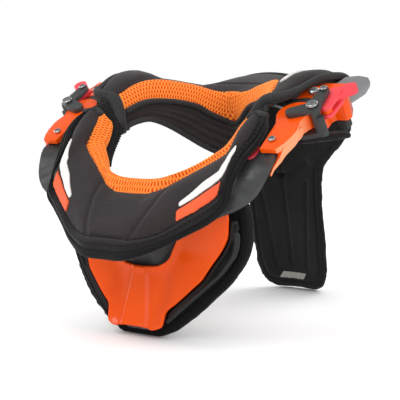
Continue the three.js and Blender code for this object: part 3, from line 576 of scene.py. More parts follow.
# Spacer mesh: threads stand out from the holes between them, which have painted shade in a darker colour
black_mesh = spacer_mesh("black spacer mesh", "#1B1B1C", "#272728", "#0B0B0B", sheen=0.05)
orange_mesh = spacer_mesh("orange spacer mesh", "#F68222", "#FF9C3E", "#D43606", sheen=0.1)
# Polished mould: strong orange with clear highlights
orange_gloss = moulded_plastic("orange gloss nylon", "#EC4C04", "#F85A08", roughness=0.15, grain_mm=1.4,
                               raised=0.012, coat=0.3, specular=0.3)
# The same orange with a painted reflection: paler on the outer side of an arm, where it shines most
orange_painted_reflection = moulded_plastic("orange nylon with painted reflection", "#EC4C04", "#F85A08", roughness=0.18, grain_mm=1.4,
                                 raised=0.012, coat=0.4, specular=0.35, marked=("flank", "#FF9C6C"))
# Glass-filled nylon: dark, dull, with a visible grain
dark_nylon = moulded_plastic("dark glass-filled nylon", "#363737", "#464747", roughness=0.42, grain_mm=0.8,
                             raised=0.1)
black_nylon = moulded_plastic("black glass-filled nylon", "#353636", "#434444", roughness=0.42, grain_mm=0.8,
                              raised=0.1)
# Satin nylon of the shell: grey wings, and black where the strut pad joins it
grey_nylon = moulded_plastic("grey satin nylon", "#6E6E71", "#8C8C90", roughness=0.34, grain_mm=1.0,
                             raised=0.05, coat=0.2, marked=("middle", "#1C1C1D"))
# Satin nylon of the levers: bright red with soft highlights
red_nylon = moulded_plastic("red satin nylon", "#E62E3A", "#FF545C", roughness=0.38, grain_mm=0.9,
                            raised=0.05, coat=0.1)
# Rubber of the grips: dull black, glossy on its round rim, where a paler black is a painted highlight
black_rubber = moulded_plastic("black moulded rubber", "#131313", "#1E1E1F", roughness=0.5, grain_mm=0.7,
                               raised=0.15, marked=("gloss", "#242526"))
# Insert in the plate's notch: plain slate grey
slate_nylon = moulded_plastic("slate grey nylon", "#434446", "#56575A", roughness=0.4, grain_mm=0.9,
                              raised=0.05)
# Reflective tape: warm white, with the fine beads in its face
white_tape = moulded_plastic("white reflective tape", "#DAD5D2", "#EAE6E3", roughness=0.4, grain_mm=0.9,
                             raised=0.12)
# Soft orange rubber: dull and speckled
orange_rubber = moulded_plastic("speckled orange rubber", "#D8441A", "#F2642E", roughness=0.6, grain_mm=1.1,
                                raised=0.45)
# Polished steel: bright, with a little haze from polishing
steel = new_material("polished stainless steel")
steel_place = add(steel, "ShaderNodeTexCoord", out="Object")
polish = add(steel, "ShaderNodeTexNoise", {"Vector": steel_place, "Scale": 1000 / POLISH_MM, "Detail": 3.0})
haze = add(steel, "ShaderNodeMapRange", {"Value": polish, "To Min": 0.16, "To Max": 0.24})
bright = {"Base Color": linear("#D6D8DA"), "Metallic": 1.0, "Roughness": haze}
add(steel, "ShaderNodeOutputMaterial", {"Surface": add(steel, "ShaderNodeBsdfPrincipled", bright)})


def dress(piece, body, material, slot, *nodes):
    piece.data.materials.clear()
    piece.data.materials.append(material)
    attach(piece, body)
    if nodes:
        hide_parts(*nodes)
    return piece


# Spacer-mesh collars and tabs: spacing and size of the holes pressed into them, in millimetres
HOLE_ACROSS = 1.3
HOLE_ALONG = 8.1
HOLE_WIDE = 0.8
HOLE_LONG = 2.15
HOLE_DEEP = 0.8
MESH_STEP = 0.42
MESH_RISE = 0.8


def hole_share(run, rise):
    """How deep in a hole a point of the mesh is, 0 on a thread and 1 in a hole."""
    column = np.round(run / HOLE_ACROSS)
    start = np.where(column % 2 == 0, 0.0, HOLE_ALONG / 2)
    nearest = np.round((rise - start) / HOLE_ALONG) * HOLE_ALONG + start
    reach = ((run - column * HOLE_ACROSS) / HOLE_WIDE) ** 2 + ((rise - nearest) / HOLE_LONG) ** 2
    return np.clip(1.25 - reach, 0, 1)


def knit_places(grid, drawn):
    """Each point's distance along the band's middle line, less where it is drawn out, and away from it."""
    centre = grid.shape[1] // 2
    line = grid[:, centre]
    length = np.r_[0, np.cumsum(np.linalg.norm(np.diff(line, axis=0), axis=1) / drawn[1:])]
    along = unit(np.gradient(line, axis=0))
    run = np.empty(grid.shape[:2])
    rise = np.empty(grid.shape[:2])
    for j in range(grid.shape[1]):
        near = ((grid[:, j][:, None] - line) ** 2).sum(2).argmin(1)
        offset = grid[:, j] - line[near]
        on = (offset * along[near]).sum(1)
        run[:, j] = length[near] + on / drawn[near]
        rise[:, j] = np.linalg.norm(offset - along[near] * on[:, None], axis=1) * (1 if j > centre else -1)
    return run, rise


def mesh_band(name, sections, back, drawn=1.0):
    """Closed band over rows of section points, with holes on the shown side."""
    shown = [smooth_points(section, np.linspace(0, 1, 40)) for section in sections]
    count = int(max(run_of(s)[-1] for s in shown) / MESH_RISE) + 1
    grid = []
    for s in shown:
        run = run_of(s)
        marks = np.linspace(0, run[-1], count)
        grid.append(np.stack([np.interp(marks, run, s[:, i]) for i in range(3)], 1))
    grid = np.array(grid)
    run, rise = knit_places(grid, np.zeros(len(sections)) + drawn)
    normal = unit(np.cross(np.gradient(grid, axis=0), np.gradient(grid, axis=1)))
    if (normal * (grid - np.asarray(back)[:, None])).sum() < 0:
        normal = -normal
    rows = len(sections)
    edge = np.minimum(np.arange(count), count - 1 - np.arange(count)) * MESH_RISE
    end = np.minimum(np.arange(rows), rows - 1 - np.arange(rows)) * MESH_STEP
    solid = np.minimum(edge[None, :], end[:, None])
    share = hole_share(run, rise) * np.clip(solid - 1.2, 0, 1)
    grid = grid - normal * (HOLE_DEEP * share)[:, :, None]
    faces = []
    for i in range(rows - 1):
        for j in range(count - 1):
            a = i * count + j
            faces.append((a, a + 1, a + count + 1, a + count))
        behind = rows * count + i
        faces.append((i * count, (i + 1) * count, behind + 1, behind))
        faces.append((i * count + count - 1, behind, behind + 1, (i + 1) * count + count - 1))
    faces.append(list(range(count)) + [rows * count])
    faces.append([(rows - 1) * count + j for j in range(count)] + [rows * count + rows - 1])
    piece = link_mesh(name, [*metres(grid.reshape(-1, 3)), *metres(back)], faces)
    mark_points(piece, "hole", np.r_[share.ravel(), np.zeros(rows)])
    hidden = np.zeros((rows, count))
    hidden[:, [0, 1, -2, -1]] = 1
    mark_points(piece, "backing", np.r_[hidden.ravel(), np.ones(rows)])
    outward(piece)
    smooth_faces(piece, 60)
    return piece


front_places = places_by_length(FRONT, "seam", FRONT_MESH_END, MESH_STEP)
wall = np.interp(np.abs(front_places), range(len(FRONT)), [row["wall"] for row in FRONT])
sections = []
back = []
for top, seam, drop in zip(trace(FRONT, "edge", front_places), trace(FRONT, "seam", front_places), wall):
    inward = unit((-top[0], -top[1] * 1.2, 0.0))
    toward = unit(top - seam)
    sections.append([
        seam - toward * 4 - (0, 0, 3),
        seam + toward * 0.5 - (0, 0, 0.4),
        (top + seam) / 2 + (0, 0, 2.7),
        top + (0, 0, 0.3),
        top + inward * 2.6 - (0, 0, 2),
        top + inward * 3 - (0, 0, drop),
    ])
    back.append((top + seam) / 2 - (0, 0, min(drop, 5)))
front_collar = mesh_band("front_mesh_collar", sections, back)
dress(front_collar, "front_half", orange_mesh, "orange_mesh", "front_collar_mesh")

REAR_SWELL = 2.8
rear_places = places_by_length(REAR, "seam", 9.6, MESH_STEP)
rear_seam = trace(REAR, "seam", rear_places)
rear_line = trace(REAR, "line", rear_places)
middle = (rear_seam + rear_line) / 2
face = unit(np.cross(rear_seam - rear_line, np.gradient(middle, axis=0)))
toward_neck = np.stack([-middle[:, 0], -middle[:, 1], np.full(len(middle), 12.0)], 1)
face *= np.sign((face * toward_neck).sum(1))[:, None]
rear_up = unit(rear_seam - rear_line)
sections = []
for low, high, n, up in zip(rear_line, rear_seam, face, rear_up):
    swell = []
    for f in (0.02, 0.2, 0.5, 0.8, 0.99):
        swell.append(low + (high - low) * f + n * (REAR_SWELL * math.sqrt(4 * f * (1 - f))))
    sections.append([low - up * 0.5 - n * 4] + swell + [high + up * 1.6 - n * 2.5, high + up * 2 - n * 6])
# The knit is drawn out towards its ends, more on the wearer's left
drawn = np.interp(rear_places, (-8, -3, 1.5, 4), (1.2, 1, 1, 1.7))
rear_collar = mesh_band("rear_mesh_collar", sections, middle - face * 4.5, drawn)
dress(rear_collar, "rear_half", orange_mesh, "orange_mesh", "rear_collar_mesh")

MESH_TAB_THICK = 3
for side, sign in SIDES:
    tab_run = run_of(smooth_points([row["high"] for row in MESH_TAB], np.linspace(0, 1, 200)))
    tab_shares = np.interp(np.arange(0, tab_run[-1], MESH_STEP), tab_run, np.linspace(0, 1, 200))
    tab_high = smooth_points([row["high"] for row in MESH_TAB], tab_shares) * (sign, 1, 1)
    tab_low = smooth_points([row["low"] for row in MESH_TAB], tab_shares) * (sign, 1, 1)
    sections = []
    for a, b in zip(tab_high, tab_low):
        inward = unit((-a[0], -a[1], 6.0)) * MESH_TAB_THICK
        sections.append([a, a + inward * 0.8, (a + b) / 2 + inward, b + inward * 0.8, b])
    tab = mesh_band(f"mesh_tab_{side}", sections, (tab_high + tab_low) / 2)
    dress(tab, "front_half", black_mesh, "black_mesh", f"collar_tab_{side}")

# Stuffed pads, with their sewn creases
front_pad = padded_copy("front_table_pad", "front_pad")
for sign in (1, -1):
    crease = [(22 * sign, -100, 88), (26 * sign, -92, 96), (32 * sign, -77, 112), (35 * sign, -66, 123)]
    press_line(front_pad, metres(crease), depth=0.0011, width=0.002)
channel = [(-15, -103, 86.5), (0, -103.5, 86.5), (15, -103, 86.5)]
press_line(front_pad, metres(channel), depth=0.0022, width=0.0018)
dress(front_pad, "front_half", charcoal_jersey, "charcoal_cloth", "front_table_pad")

rear_pad = padded_copy("rear_table_pad", "rear_pad", voxel=0.0017, shrink=0.0003, rounding=5)
# Front ends of the pad drawn forward to the binding round them
pad_points = read_points(rear_pad)
draw = np.clip((-0.028 - pad_points[:, 1]) / 0.008, 0, 1)
pad_points[:, 0] -= draw * np.sign(pad_points[:, 0]) * 0.0012
pad_points[:, 1] -= draw * 0.004
pad_points[:, 2] -= draw * 0.002
move_points(rear_pad, pad_points)
fold_places = np.linspace(-2.3, 2.3, 40)
fold_from = trace(REAR, "seam", fold_places)
fold_to = trace(REAR, "rim", fold_places)
fold = metres(fold_from + (fold_to - fold_from) * 0.28 + (0, 0, 4))
press_line(rear_pad, fold, depth=0.0014, width=0.0018)
dress(rear_pad, "rear_half", charcoal_jersey, "charcoal_cloth", "rear_table_pad")

lining = padded_copy("rear_lining", "rear_lining_cushion", swell=0.001)
lining_places = np.linspace(-9.6, 9.6, 60)
lining_top = trace(REAR, "line", lining_places)
lining_foot = trace(REAR, "foot", lining_places)
for share in (0.3, 0.5, 0.7):
    channel = metres(lining_top + (lining_foot - lining_top) * share)
    press_line(lining, channel, depth=0.0018, width=0.002)
dress(lining, "rear_half", charcoal_jersey, "charcoal_cloth", "rear_lining")

chest_pad = padded_copy("chest_pad", "chest_cushion")
chest_edge = [(row["x"], -60, row["z"]) for row in CHEST_EDGE]
chest_line = metres(smooth_points([flip(p) for p in chest_edge[:0:-1]] + chest_edge, np.linspace(0, 1, 120)))
channel = face_line(chest_pad, inset_line(chest_line, 0.0085))
press_line(chest_pad, channel, depth=0.0012, width=0.0016)
dress(chest_pad, "front_half", black_foam_cloth, "charcoal_cloth", "chest_pad")
stitch_line = face_line(chest_pad, inset_line(chest_line, 0.0065))
chest_stitches = stitch_row("chest_pad_stitches", chest_pad, stitch_line)
dress(chest_stitches, "front_half", stitch_thread, "black_binding")

strut = padded_copy("back_strut_pad", "back_strut")
# Top of the strut pad drawn up to the edge of the shell that carries it
strut_points = read_points(strut)
draw_up = np.interp(np.abs(strut_points[:, 0]), (0.025, 0.05, 0.075), (0.008, 0.005, 0.008))
strut_points[:, 2] += draw_up * np.clip((strut_points[:, 2] - 0.165) / 0.02, 0, 1)
move_points(strut, strut_points)
strut_side = [(row["x"], 165, row["z"]) for row in STRUT_EDGE]
strut_line = metres(smooth_points(strut_side[::-1] + [flip(p) for p in strut_side], np.linspace(0, 1, 140)))
channel = face_line(strut, inset_line(strut_line, 0.0085))
press_line(strut, channel, depth=0.0014, width=0.0016)
fold = metres([(0, 165, 128), (0, 165, 28)])
press_line(strut, face_line(strut, even(fold, 0.004)), depth=0.0012, width=0.002)
for sign in (1, -1):
    fold = metres([(27 * sign, 165, 112), (24 * sign, 165, 90), (19 * sign, 165, 40), (17 * sign, 165, 24)])
    press_line(strut, face_line(strut, even(fold, 0.004)), depth=0.0011, width=0.0022)
    fold = metres([(0, 165, 117), (14 * sign, 165, 121), (30 * sign, 165, 131)])
    press_line(strut, face_line(strut, even(fold, 0.004)), depth=0.0018, width=0.0026)
dress(strut, "rear_half", black_cloth, "charcoal_cloth", "back_strut_pad")
strut_stitches = stitch_row("strut_stitches", strut, face_line(strut, inset_line(strut_line, 0.006)))
dress(strut_stitches, "rear_half", stitch_thread, "black_binding")

for side, _ in SIDES:
    flap = padded_copy(f"shoulder_flap_{side}", f"flap_{side}", voxel=0.0018, shrink=0.0002, swell=0.0008,
                       rounding=5)
    dress(flap, "rear_half", black_cloth, "charcoal_cloth", f"shoulder_flap_{side}")

# Rolled lip round the front table: share of its height, and how far it stands out in millimetres
LIP_PROFILE = table(
    ("down", "out"),
    (-0.12, -3.6), (0.0, 0.1), (0.2, 1.7), (0.4, 1.4), (0.53, -0.5), (0.62, 1.0), (0.8, 1.5),
    (0.96, 0.6), (1.0, -1.2), (0.92, -3.2), (0.5, -4.2), (0.1, -5.2),
)
LIP_POINTS = 36
lip_places = np.linspace(-10, 10, 261)
lip_rim = trace(FRONT, "rim", lip_places)
lip_hem = trace(FRONT, "hem", lip_places)
lip_u, lip_n = facing_of(FRONT, "seam", "rim", lip_places, (0, -0.4, 1))
lip_rings = []
for rim, hem, u, n in zip(lip_rim, lip_hem, lip_u, lip_n):
    height = np.linalg.norm(hem - rim)
    down = (hem - rim) / height
    out = unit(u + n - down * ((u + n) @ down))
    ring = [rim + down * (row["down"] * height) + out * row["out"] for row in LIP_PROFILE]
    lip_rings.append(metres(round_ring(ring, LIP_POINTS)))
front_lip = loft("front_lip", lip_rings)
near_middle = np.clip((4.6 - np.abs(lip_places)) / 0.6, 0, 1)
upper_roll = np.arange(LIP_POINTS) < LIP_POINTS * 4.2 / 12
mark_points(front_lip, "roll", near_middle[:, None] * upper_roll)
dress(front_lip, "front_half", lip_cloth, "black_binding", "front_table_binding")
stitch_line = metres(lip_rim + (lip_hem - lip_rim) * 0.25 + lip_n * 1.5)
lip_stitches = stitch_row("front_lip_stitches", front_lip, stitch_line)
dress(lip_stitches, "front_half", stitch_thread, "black_binding")

# Binding round the rear table: its rim, then down its two front ends
AHEAD = np.array((-1.5, -5, -2.8))
rim_places = np.linspace(-9.7, 9.7, 160)
rear_u, rear_n = facing_of(REAR, "seam", "rim", rim_places, (0, -0.4, 1))
rear_rim = trace(REAR, "rim", rim_places) + rear_u * 2.2 - rear_n * 2.6
end = [np.array(REAR[-1][name]) + AHEAD for name in ("rim", "seam", "line", "foot")]
mirrored = [p * (-1, 1, 1) for p in end]
rear_path = smooth_points(mirrored[::-1] + list(rear_rim[4:-4:8]) + end, np.linspace(0, 1, 240))
rear_path = even(rear_path, 2)
to_end = np.minimum(run_of(rear_path), run_of(rear_path)[::-1])
lip_radius = np.interp(to_end, (20, 45, 70), (0.006, 0.0054, 0.0034))
rear_lip = tube("rear_lip", metres(rear_path), lip_radius, flat=0.9, sides=14)
dress(rear_lip, "rear_half", black_binding, "black_binding", "rear_table_binding")
stitch_line = metres(rear_path - unit(rear_path * (1, 1, 0)) * 4 + (0, 0, 2.2))
rear_stitches = stitch_row("rear_lip_stitches", rear_lip, stitch_line, pitch=0.0038, thread=0.0003,
                           length=0.0024)
dress(rear_stitches, "rear_half", stitch_thread, "black_binding")

# Piping: round the tips of the front pad, between mesh and lining, along the lining's foot
for side, sign in SIDES:
    hem, rim, seam = (np.array(FRONT[-1][name]) for name in ("hem", "rim", "seam"))
    tip = [hem, rim + (0, 2, 1), seam + (0, 1.5, 1)]
    tip += list(trace(FRONT, "seam", (9.5, 9.0, 8.5)) + (-0.5, 0.5, 0.5))
    line = smooth_points([p * (sign, 1, 1) for p in tip], np.linspace(0, 1, 40))
    piping = tube(f"tip_piping_{side}", metres(line), radius=0.003)
    dress(piping, "front_half", black_binding, "black_binding")
mesh_edge = rear_line + face * 0.6 - rear_up * 0.8
piping = tube("mesh_piping", metres(even(mesh_edge, 2)), radius=0.0025)
dress(piping, "rear_half", black_binding, "black_binding")
lining_edge = trace(REAR, "foot", np.linspace(-9.9, 9.9, 120)) + (0, 0, 1.2)
piping = tube("lining_piping", metres(even(lining_edge, 2)), radius=0.0024)
dress(piping, "rear_half", black_binding, "black_binding")


# Tape strips, accents and the printed patch, laid on the pads they are fixed to
def laid_sheet(name, pad, grid, thick):
    """Thin sheet whose rows of points (in metres) are let down onto a pad."""
    tree = tree_of(pad)
    rings = []
    for row in grid:
        top = []
        under = []
        for j, p in enumerate(row):
            where, normal, _, _ = tree.find_nearest(Vector(p))
            height = 0.35 if j in (0, len(row) - 1) else 1.0
            top.append(where + normal * (thick * height))
            under.insert(0, where - normal * 0.0004)
        rings.append(top + under)
    return loft(name, rings)


def table_grid(table, sign, rows, corner=1.5):
    """Points over part of a padded table, between two shares of its width, with round corners."""
    spots = np.linspace(rows[0]["place"], rows[-1]["place"], 90)
    inner = trace(table, "seam", spots * sign)
    outer = trace(table, "rim", spots * sign)
    width = np.linalg.norm(outer - inner, axis=1)
    edges = smooth_points([(row["place"], row["from"], row["to"]) for row in rows], np.linspace(0, 1, 200))
    low = np.interp(spots, edges[:, 0], edges[:, 1])
    high = np.interp(spots, edges[:, 0], edges[:, 2])
    run = run_of((inner + outer) / 2)
    left = np.minimum(np.minimum(run, run[-1] - run), corner)
    cut = (corner - np.sqrt(corner ** 2 - (corner - left) ** 2)) / width
    cut = np.minimum(cut, (high - low) * 0.45)
    across = np.array([0, 0.04, 0.15, 0.3, 0.5, 0.7, 0.85, 0.96, 1])
    _, up = facing_of(table, "seam", "rim", spots * sign, (0, -0.4, 1))
    for _ in range(60):
        up[1:-1] = unit(up[:-2] + up[1:-1] * 2 + up[2:])
    share = (low + cut)[:, None] + (high - low - 2 * cut)[:, None] * across
    points = inner[:, None] + (outer - inner)[:, None] * share[:, :, None] + up[:, None] * 4
    return [metres(row) for row in points]


# Place along the table, and the shares of its width that a sheet lies between
TAPE_THICK = 0.0011
ACCENT_THICK = 0.0013
PATCH_THICK = 0.0008
FRONT_STRIP = table(
    ("place", "from", "to"),
    (2.9, 0.66, 0.73), (3.5, 0.6, 0.72), (4.1, 0.53, 0.695), (4.5, 0.5, 0.68), (4.8, 0.49, 0.67),
    (5.2, 0.512, 0.72), (5.5, 0.56, 0.8), (5.9, 0.63, 0.905), (6.5, 0.72, 0.985), (7.1, 0.8, 0.99),
)
FRONT_ACCENT = table(
    ("place", "from", "to"),
    (2.8, 0.77, 0.97), (3.5, 0.75, 0.97), (4.1, 0.735, 0.97), (4.7, 0.72, 0.97), (5.2, 0.79, 0.98),
    (5.6, 0.89, 0.98),
)
REAR_STRIP = table(
    ("place", "from", "to"),
    (7.2, 0.4, 0.54), (7.8, 0.31, 0.46), (8.4, 0.2, 0.36),
)
for side, sign in SIDES:
    strip = laid_sheet(f"tape_front_{side}", front_pad, table_grid(FRONT, sign, FRONT_STRIP, 0.9), TAPE_THICK)
    dress(strip, "front_half", white_tape, "reflective_tape", f"front_strip_{side}")
    accent = laid_sheet(f"accent_{side}", front_pad, table_grid(FRONT, sign, FRONT_ACCENT, 1.6), ACCENT_THICK)
    dress(accent, "front_half", orange_rubber, "orange_pad", f"front_accent_{side}")
strip = laid_sheet("tape_rear", rear_pad, table_grid(REAR, 1, REAR_STRIP), TAPE_THICK)
dress(strip, "rear_half", white_tape, "reflective_tape", "rear_strip")
patch_grid = []
for x in np.linspace(-12, 12, 25):
    patch_grid.append([spot((x + (z - 11) * 0.5, 178, z)) for z in np.linspace(6.5, 15.5, 9)])
patch = laid_sheet("strut_print", strut, patch_grid, PATCH_THICK)
dress(patch, "rear_half", grey_print, "grey_patch", "strut_patch")

# Chest plate and rubber grips
chest_rows = [(row["z"], row["middle"], row["side"]) for row in CHEST_FACE]
chest_fine = smooth_points(chest_rows, np.linspace(0, 1, 200))


def chest_face(x, z):
    middle = np.interp(z, chest_fine[:, 0], chest_fine[:, 1])
    side = np.interp(z, chest_fine[:, 0], chest_fine[:, 2])
    return middle + (side - middle) * (x / CHEST_SIDE) ** 2


def chest_sheet(name, rows, stand_off, thick, raised, sides, step=1.0):
    """Sheet that follows the chest between a foot line and a top line, raised in relief.

    sides is 1 or -1 for a sheet on one side of the body, and 0 for one across it."""
    edges = smooth_points([(row["x"], row["foot"], row["top"]) for row in rows], np.linspace(0, 1, 300))
    last = rows[-1]["x"]
    first = -last if sides == 0 else rows[0]["x"]
    xs = np.linspace(first, last, int((last - first) / step) + 1)
    foot = np.interp(np.abs(xs), edges[:, 0], edges[:, 1])
    top = np.interp(np.abs(xs), edges[:, 0], edges[:, 2])
    shares = np.linspace(0, 1, int((top - foot).max() / step) + 1)
    z = foot[:, None] + (top - foot)[:, None] * shares
    x = xs[:, None] + 0 * z
    flat = np.stack([x.ravel(), z.ravel()], 1)
    foot_line = np.stack([xs, foot], 1)
    top_line = np.stack([xs, top], 1)
    from_foot = distance_to(flat, foot_line).reshape(x.shape)
    from_top = distance_to(flat, top_line).reshape(x.shape)
    from_end = np.minimum(x - x[0, 0] if sides else last - np.abs(x), x[-1, 0] - x)
    near = np.minimum(np.minimum(from_foot, from_top), from_end)
    r = thick / 2
    turned = r - np.sqrt(r ** 2 - (r - np.minimum(near, r)) ** 2)
    y = chest_face(x, z) - stand_off
    raise_by = raised(np.abs(x), z, from_foot, from_top)
    sign = sides or 1
    front = np.stack([x * sign, y + turned - raise_by, z], 2)
    behind = np.stack([x * sign, y + thick - turned - raise_by * np.where(raise_by > 0, 0.8, 0.3), z], 2)
    rings = [metres([*a, *b[::-1]]) for a, b in zip(front, behind)]
    piece = loft(name, rings, 70)
    return piece, np.stack([from_foot, from_foot[:, ::-1]], 1).reshape(len(xs), -1)


def plate_relief(x, z, from_foot, from_top):
    """Raised middle band, rolled top edge, flared lobes at the foot and hollow wings."""
    half = np.interp(z, (8, 15, 54, 60), (13.2, 12.5, 7.1, 6.5))
    flat = 1 / (1 + np.exp(np.clip((x - half) / 0.5, -30, 30)))
    ridge = 0.18 * np.exp(-((x - half + 1.6) / 0.9) ** 2)
    band = (flat + ridge) * np.clip((64 - z) / 8, 0, 1)
    roll = np.exp(-(from_top / 4) ** 2) * np.clip((44 - x) / 10, 0, 1)
    lobe = np.clip(1 - from_foot / 12, 0, 1) ** 2 * np.exp(-((x - 21) / 9) ** 2)
    hollow = np.exp(-((x - 22) / 9) ** 2) * np.exp(-((z - 40) / 17) ** 2)
    return 3.0 * band + 2.4 * roll + 4.2 * lobe - 3.2 * hollow


def grip_relief(x, z, from_foot, from_top):
    """Round rim along the outside, and a field of small bumps towards the top."""
    rim = np.exp(-((from_foot - 1.7) / 1.1) ** 2)
    field = np.clip(from_foot - 4.2, 0, 1) * np.clip(from_top - 2.8, 0, 1) * np.clip((x - 58) / 3, 0, 1)
    bumps = np.clip(np.sin(x * 2.6 + z * 0.7) * np.sin(z * 2.6 - x * 0.7), 0, 1)
    return 2.0 * rim - 1.0 * field + 2.0 * field * bumps


def no_relief(x, z, from_foot, from_top):
    return 0 * x


plate, _ = chest_sheet("chest_shield", CHEST_PLATE, stand_off=7.5, thick=3, raised=plate_relief, sides=0,
                       step=0.7)
dress(plate, "front_half", orange_gloss, "orange_plastic", "chest_plate")
for side, sign in SIDES:
    grip, from_edge = chest_sheet(f"grip_{side}", CHEST_GRIP, stand_off=6.5, thick=5, raised=grip_relief,
                                  sides=sign, step=0.5)
    # Round rim of each grip: smoother, with a painted highlight in a paler colour
    mark_points(grip, "gloss", np.clip((2.9 - from_edge) / 0.8, 0, 1))
    dress(grip, "front_half", black_rubber, "black_rubber", f"chest_grip_{side}")
insert, _ = chest_sheet("notch_insert", NOTCH_INSERT, stand_off=4.4, thick=3, raised=no_relief, sides=0)
dress(insert, "front_half", slate_nylon, "grey_nylon")

# Hard pieces with rounded edges
shell = moulded_copy("rear_shell", "rear_shell_cover", edge=0.0012)
mark_points(shell, "middle", np.clip((0.095 - np.abs(read_points(shell)[:, 0])) / 0.02, 0, 1))
dress(shell, "rear_half", grey_nylon, "grey_nylon", "rear_shell")
table_plate = moulded_copy("front_frame", "front_plate", edge=0.0008)
dress(table_plate, "front_half", dark_nylon, "dark_nylon", "front_frame")

# Red tab let into each side fin, beside the lip
RED_TAB_FROM = np.array((91.5, -38.2, 148))
RED_TAB_TO = np.array((95.2, -25.7, 157.2))
RED_TAB_OUT = np.array((4.4, -3.3, -1.4))
for side, sign in SIDES:
    tab_grid = []
    for share in np.linspace(0.02, 0.98, 17):
        base = RED_TAB_FROM + (RED_TAB_TO - RED_TAB_FROM) * share
        reach = np.linspace(-0.6, math.sin(math.pi * share) ** 0.6, 9)
        tab_grid.append(metres([(base + RED_TAB_OUT * r) * (sign, 1, 1) for r in reach]))
    red_tab = laid_sheet(f"red_tab_{side}", table_plate, tab_grid, thick=0.0012)
    dress(red_tab, "front_half", red_nylon, "red_nylon")


def outer_flank(piece):
    """How far each point lies on the outer side of a front arm, 0 to 1, short of its knuckle."""
    points = read_points(piece)
    along = (points[:, 1] + SHIFT * MM) * math.cos(CLOSURE_TILT) + points[:, 2] * math.sin(CLOSURE_TILT)
    out = read_points(piece, "normal")[:, 0] * np.sign(points[:, 0])
    return np.clip((out - 0.72) / 0.15, 0, 1) * np.clip((0.098 - along) / 0.012, 0, 1)


for side, _ in SIDES:
    arm = moulded_copy(f"front_arm_{side}", f"arm_{side}", edge=0.0009)
    # Painted reflection: the outer flank of each front arm is coloured a paler orange
    mark_points(arm, "flank", outer_flank(arm))
    dress(arm, "front_half", orange_painted_reflection, "orange_plastic", f"front_arm_{side}")
HARD = table(
    ("node", "name", "body", "material", "slot", "edge"),
    ("rear_arm", "rear_arm_body", "rear_half", orange_painted_reflection, "orange_plastic", 0.0012),
    ("knuckle_socket", "socket", "rear_half", dark_nylon, "dark_nylon", 0.0012),
    ("bail", "bail_link", "bail_{side}", black_nylon, "dark_nylon", 0.0014),
    ("lever", "lever_handle", "lever_{side}", red_nylon, "red_nylon", 0.0013),
    ("strap_tab", "webbing_tab", "rear_half", dark_webbing, "grey_nylon", 0.0012),
)
for row in HARD:
    for side, _ in SIDES:
        node = f"{row['node']}_{side}"
        piece = moulded_copy(node, f"{row['name']}_{side}", row["edge"])
        dress(piece, row["body"].format(side=side), row["material"], row["slot"], node)


def button_screw(name, x, v, h, radius, height):
    """Button-head screw with a hexagon socket, set in the tilted plane of the latches."""
    tilt = Matrix.Rotation(CLOSURE_TILT, 4, "X")
    stand = spot(tilt @ Vector((x, v, h)))
    axis = (tilt @ Vector((0, 0, 1))) * MM
    turn = (CLOSURE_TILT, 0, 0)
    head = small_shape("primitive_cylinder_add", vertices=40, radius=radius * MM, depth=height * MM,
                       location=stand + axis * (height / 2), rotation=turn)
    socket = small_shape("primitive_cylinder_add", vertices=6, radius=radius * 0.46 * MM, depth=height * MM,
                         location=stand + axis * height, rotation=turn)
    apply_modifier(head, "BEVEL", width=height * 0.42 * MM, segments=5, limit_method="ANGLE")
    apply_modifier(head, "BOOLEAN", operation="DIFFERENCE", object=socket, solver="EXACT")
    bpy.data.objects.remove(socket)
    select_only(head)
    bpy.ops.object.transform_apply(location=True, rotation=True, scale=True)
    head.name = name
    smooth_faces(head, 35)
    return head


# Places in the plane of the latches, x across, v along it and h out of it, in millimetres
SCREWS = table(
    ("node", "name", "body", "x", "v", "h", "radius", "height"),
    ("arm_screw", "arm_bolt", "front_half", 111, 61.5, 155.4, 3.2, 2.4),
    ("rear_arm_screw", "rear_bolt", "rear_half", 114.4, 131, 152.4, 4.6, 4.2),
    ("bail_bolt", "bail_cap", "bail_{side}", 128, 103, 159.8, 5, 2.6),
    ("link_screw", "link_bolt", "bail_{side}", 127, 126.7, 159.8, 3.2, 1.8),
)
for row in SCREWS:
    for side, sign in SIDES:
        place = (row["x"] * sign, row["v"], row["h"])
        piece = button_screw(f"{row['name']}_{side}", *place, row["radius"], row["height"])
        dress(piece, row["body"].format(side=side), steel, "steel", f"{row['node']}_{side}")

# Floor, light and camera
floor = small_shape("primitive_plane_add", size=8, location=(0, 0, -0.0004))
floor.name = "floor"
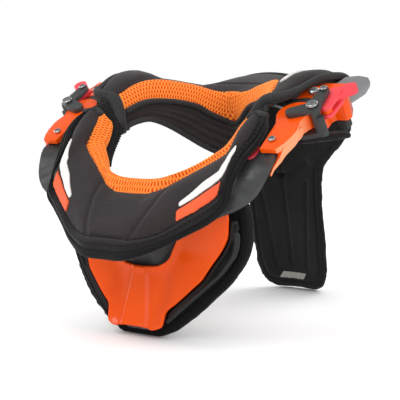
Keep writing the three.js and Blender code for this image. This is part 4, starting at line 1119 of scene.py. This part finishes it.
# Paper sweep: white and dull, and greyer where it shows in glossy pieces
paper = new_material("white paper sweep")
glossy = add(paper, "ShaderNodeLightPath", out="Is Glossy Ray")
whites = {"Factor": glossy, FIRST_COLOUR: linear("#FFFFFF"), SECOND_COLOUR: linear("#A8A8A8")}
sweep = add(paper, "ShaderNodeMix", whites, MIXED_COLOUR, data_type="RGBA")
matt = {"Base Color": sweep, "Roughness": 1.0, "Specular IOR Level": 0.0}
add(paper, "ShaderNodeOutputMaterial", {"Surface": add(paper, "ShaderNodeBsdfPrincipled", matt)})
floor.data.materials.append(paper)

# White room that shines less brightly in glossy surfaces than it lights
world = bpy.data.worlds.new("studio")
scene.world = world
world.use_nodes = True
ray = add(world, "ShaderNodeLightPath", out="Is Glossy Ray")
shine = add(world, "ShaderNodeMapRange", {"Value": ray, "To Min": 1.0, "To Max": 0.3})
world.node_tree.links.new(shine, world.node_tree.nodes["Background"].inputs["Strength"])
world.node_tree.nodes["Background"].inputs["Color"].default_value = (1, 1, 1, 1)


def soft_light(name, place, aim, size, power):
    data = bpy.data.lights.new(name, "AREA")
    data.energy = power
    data.size = size
    lamp = bpy.data.objects.new(name, data)
    lamp.location = place
    lamp.rotation_euler = (Vector(aim) - Vector(place)).to_track_quat("-Z", "Y").to_euler()
    bpy.context.collection.objects.link(lamp)


soft_light("key", (-0.5, -0.9, 1.4), (0, 0, 0.1), size=0.9, power=7)
soft_light("fill", (1.3, -0.6, 0.8), (0, 0, 0.1), size=1.2, power=4)
soft_light("rim", (0.3, 1.2, 1.1), (0, 0, 0.15), size=1.0, power=4)
soft_light("side", (-1.3, 0.1, 0.4), (0, 0, 0.1), size=0.8, power=4.5)

camera = bpy.data.objects.new("camera", bpy.data.cameras.new("camera"))
bpy.context.collection.objects.link(camera)
camera.data.lens = 105.36
camera.data.sensor_width = 36
camera.location = (0.586949, -0.8614215, 0.2137185)
camera.rotation_euler = (math.pi / 2 - 0.10609483, 0, 0.61086649)
scene.camera = camera
scene.view_settings.view_transform = "Standard"
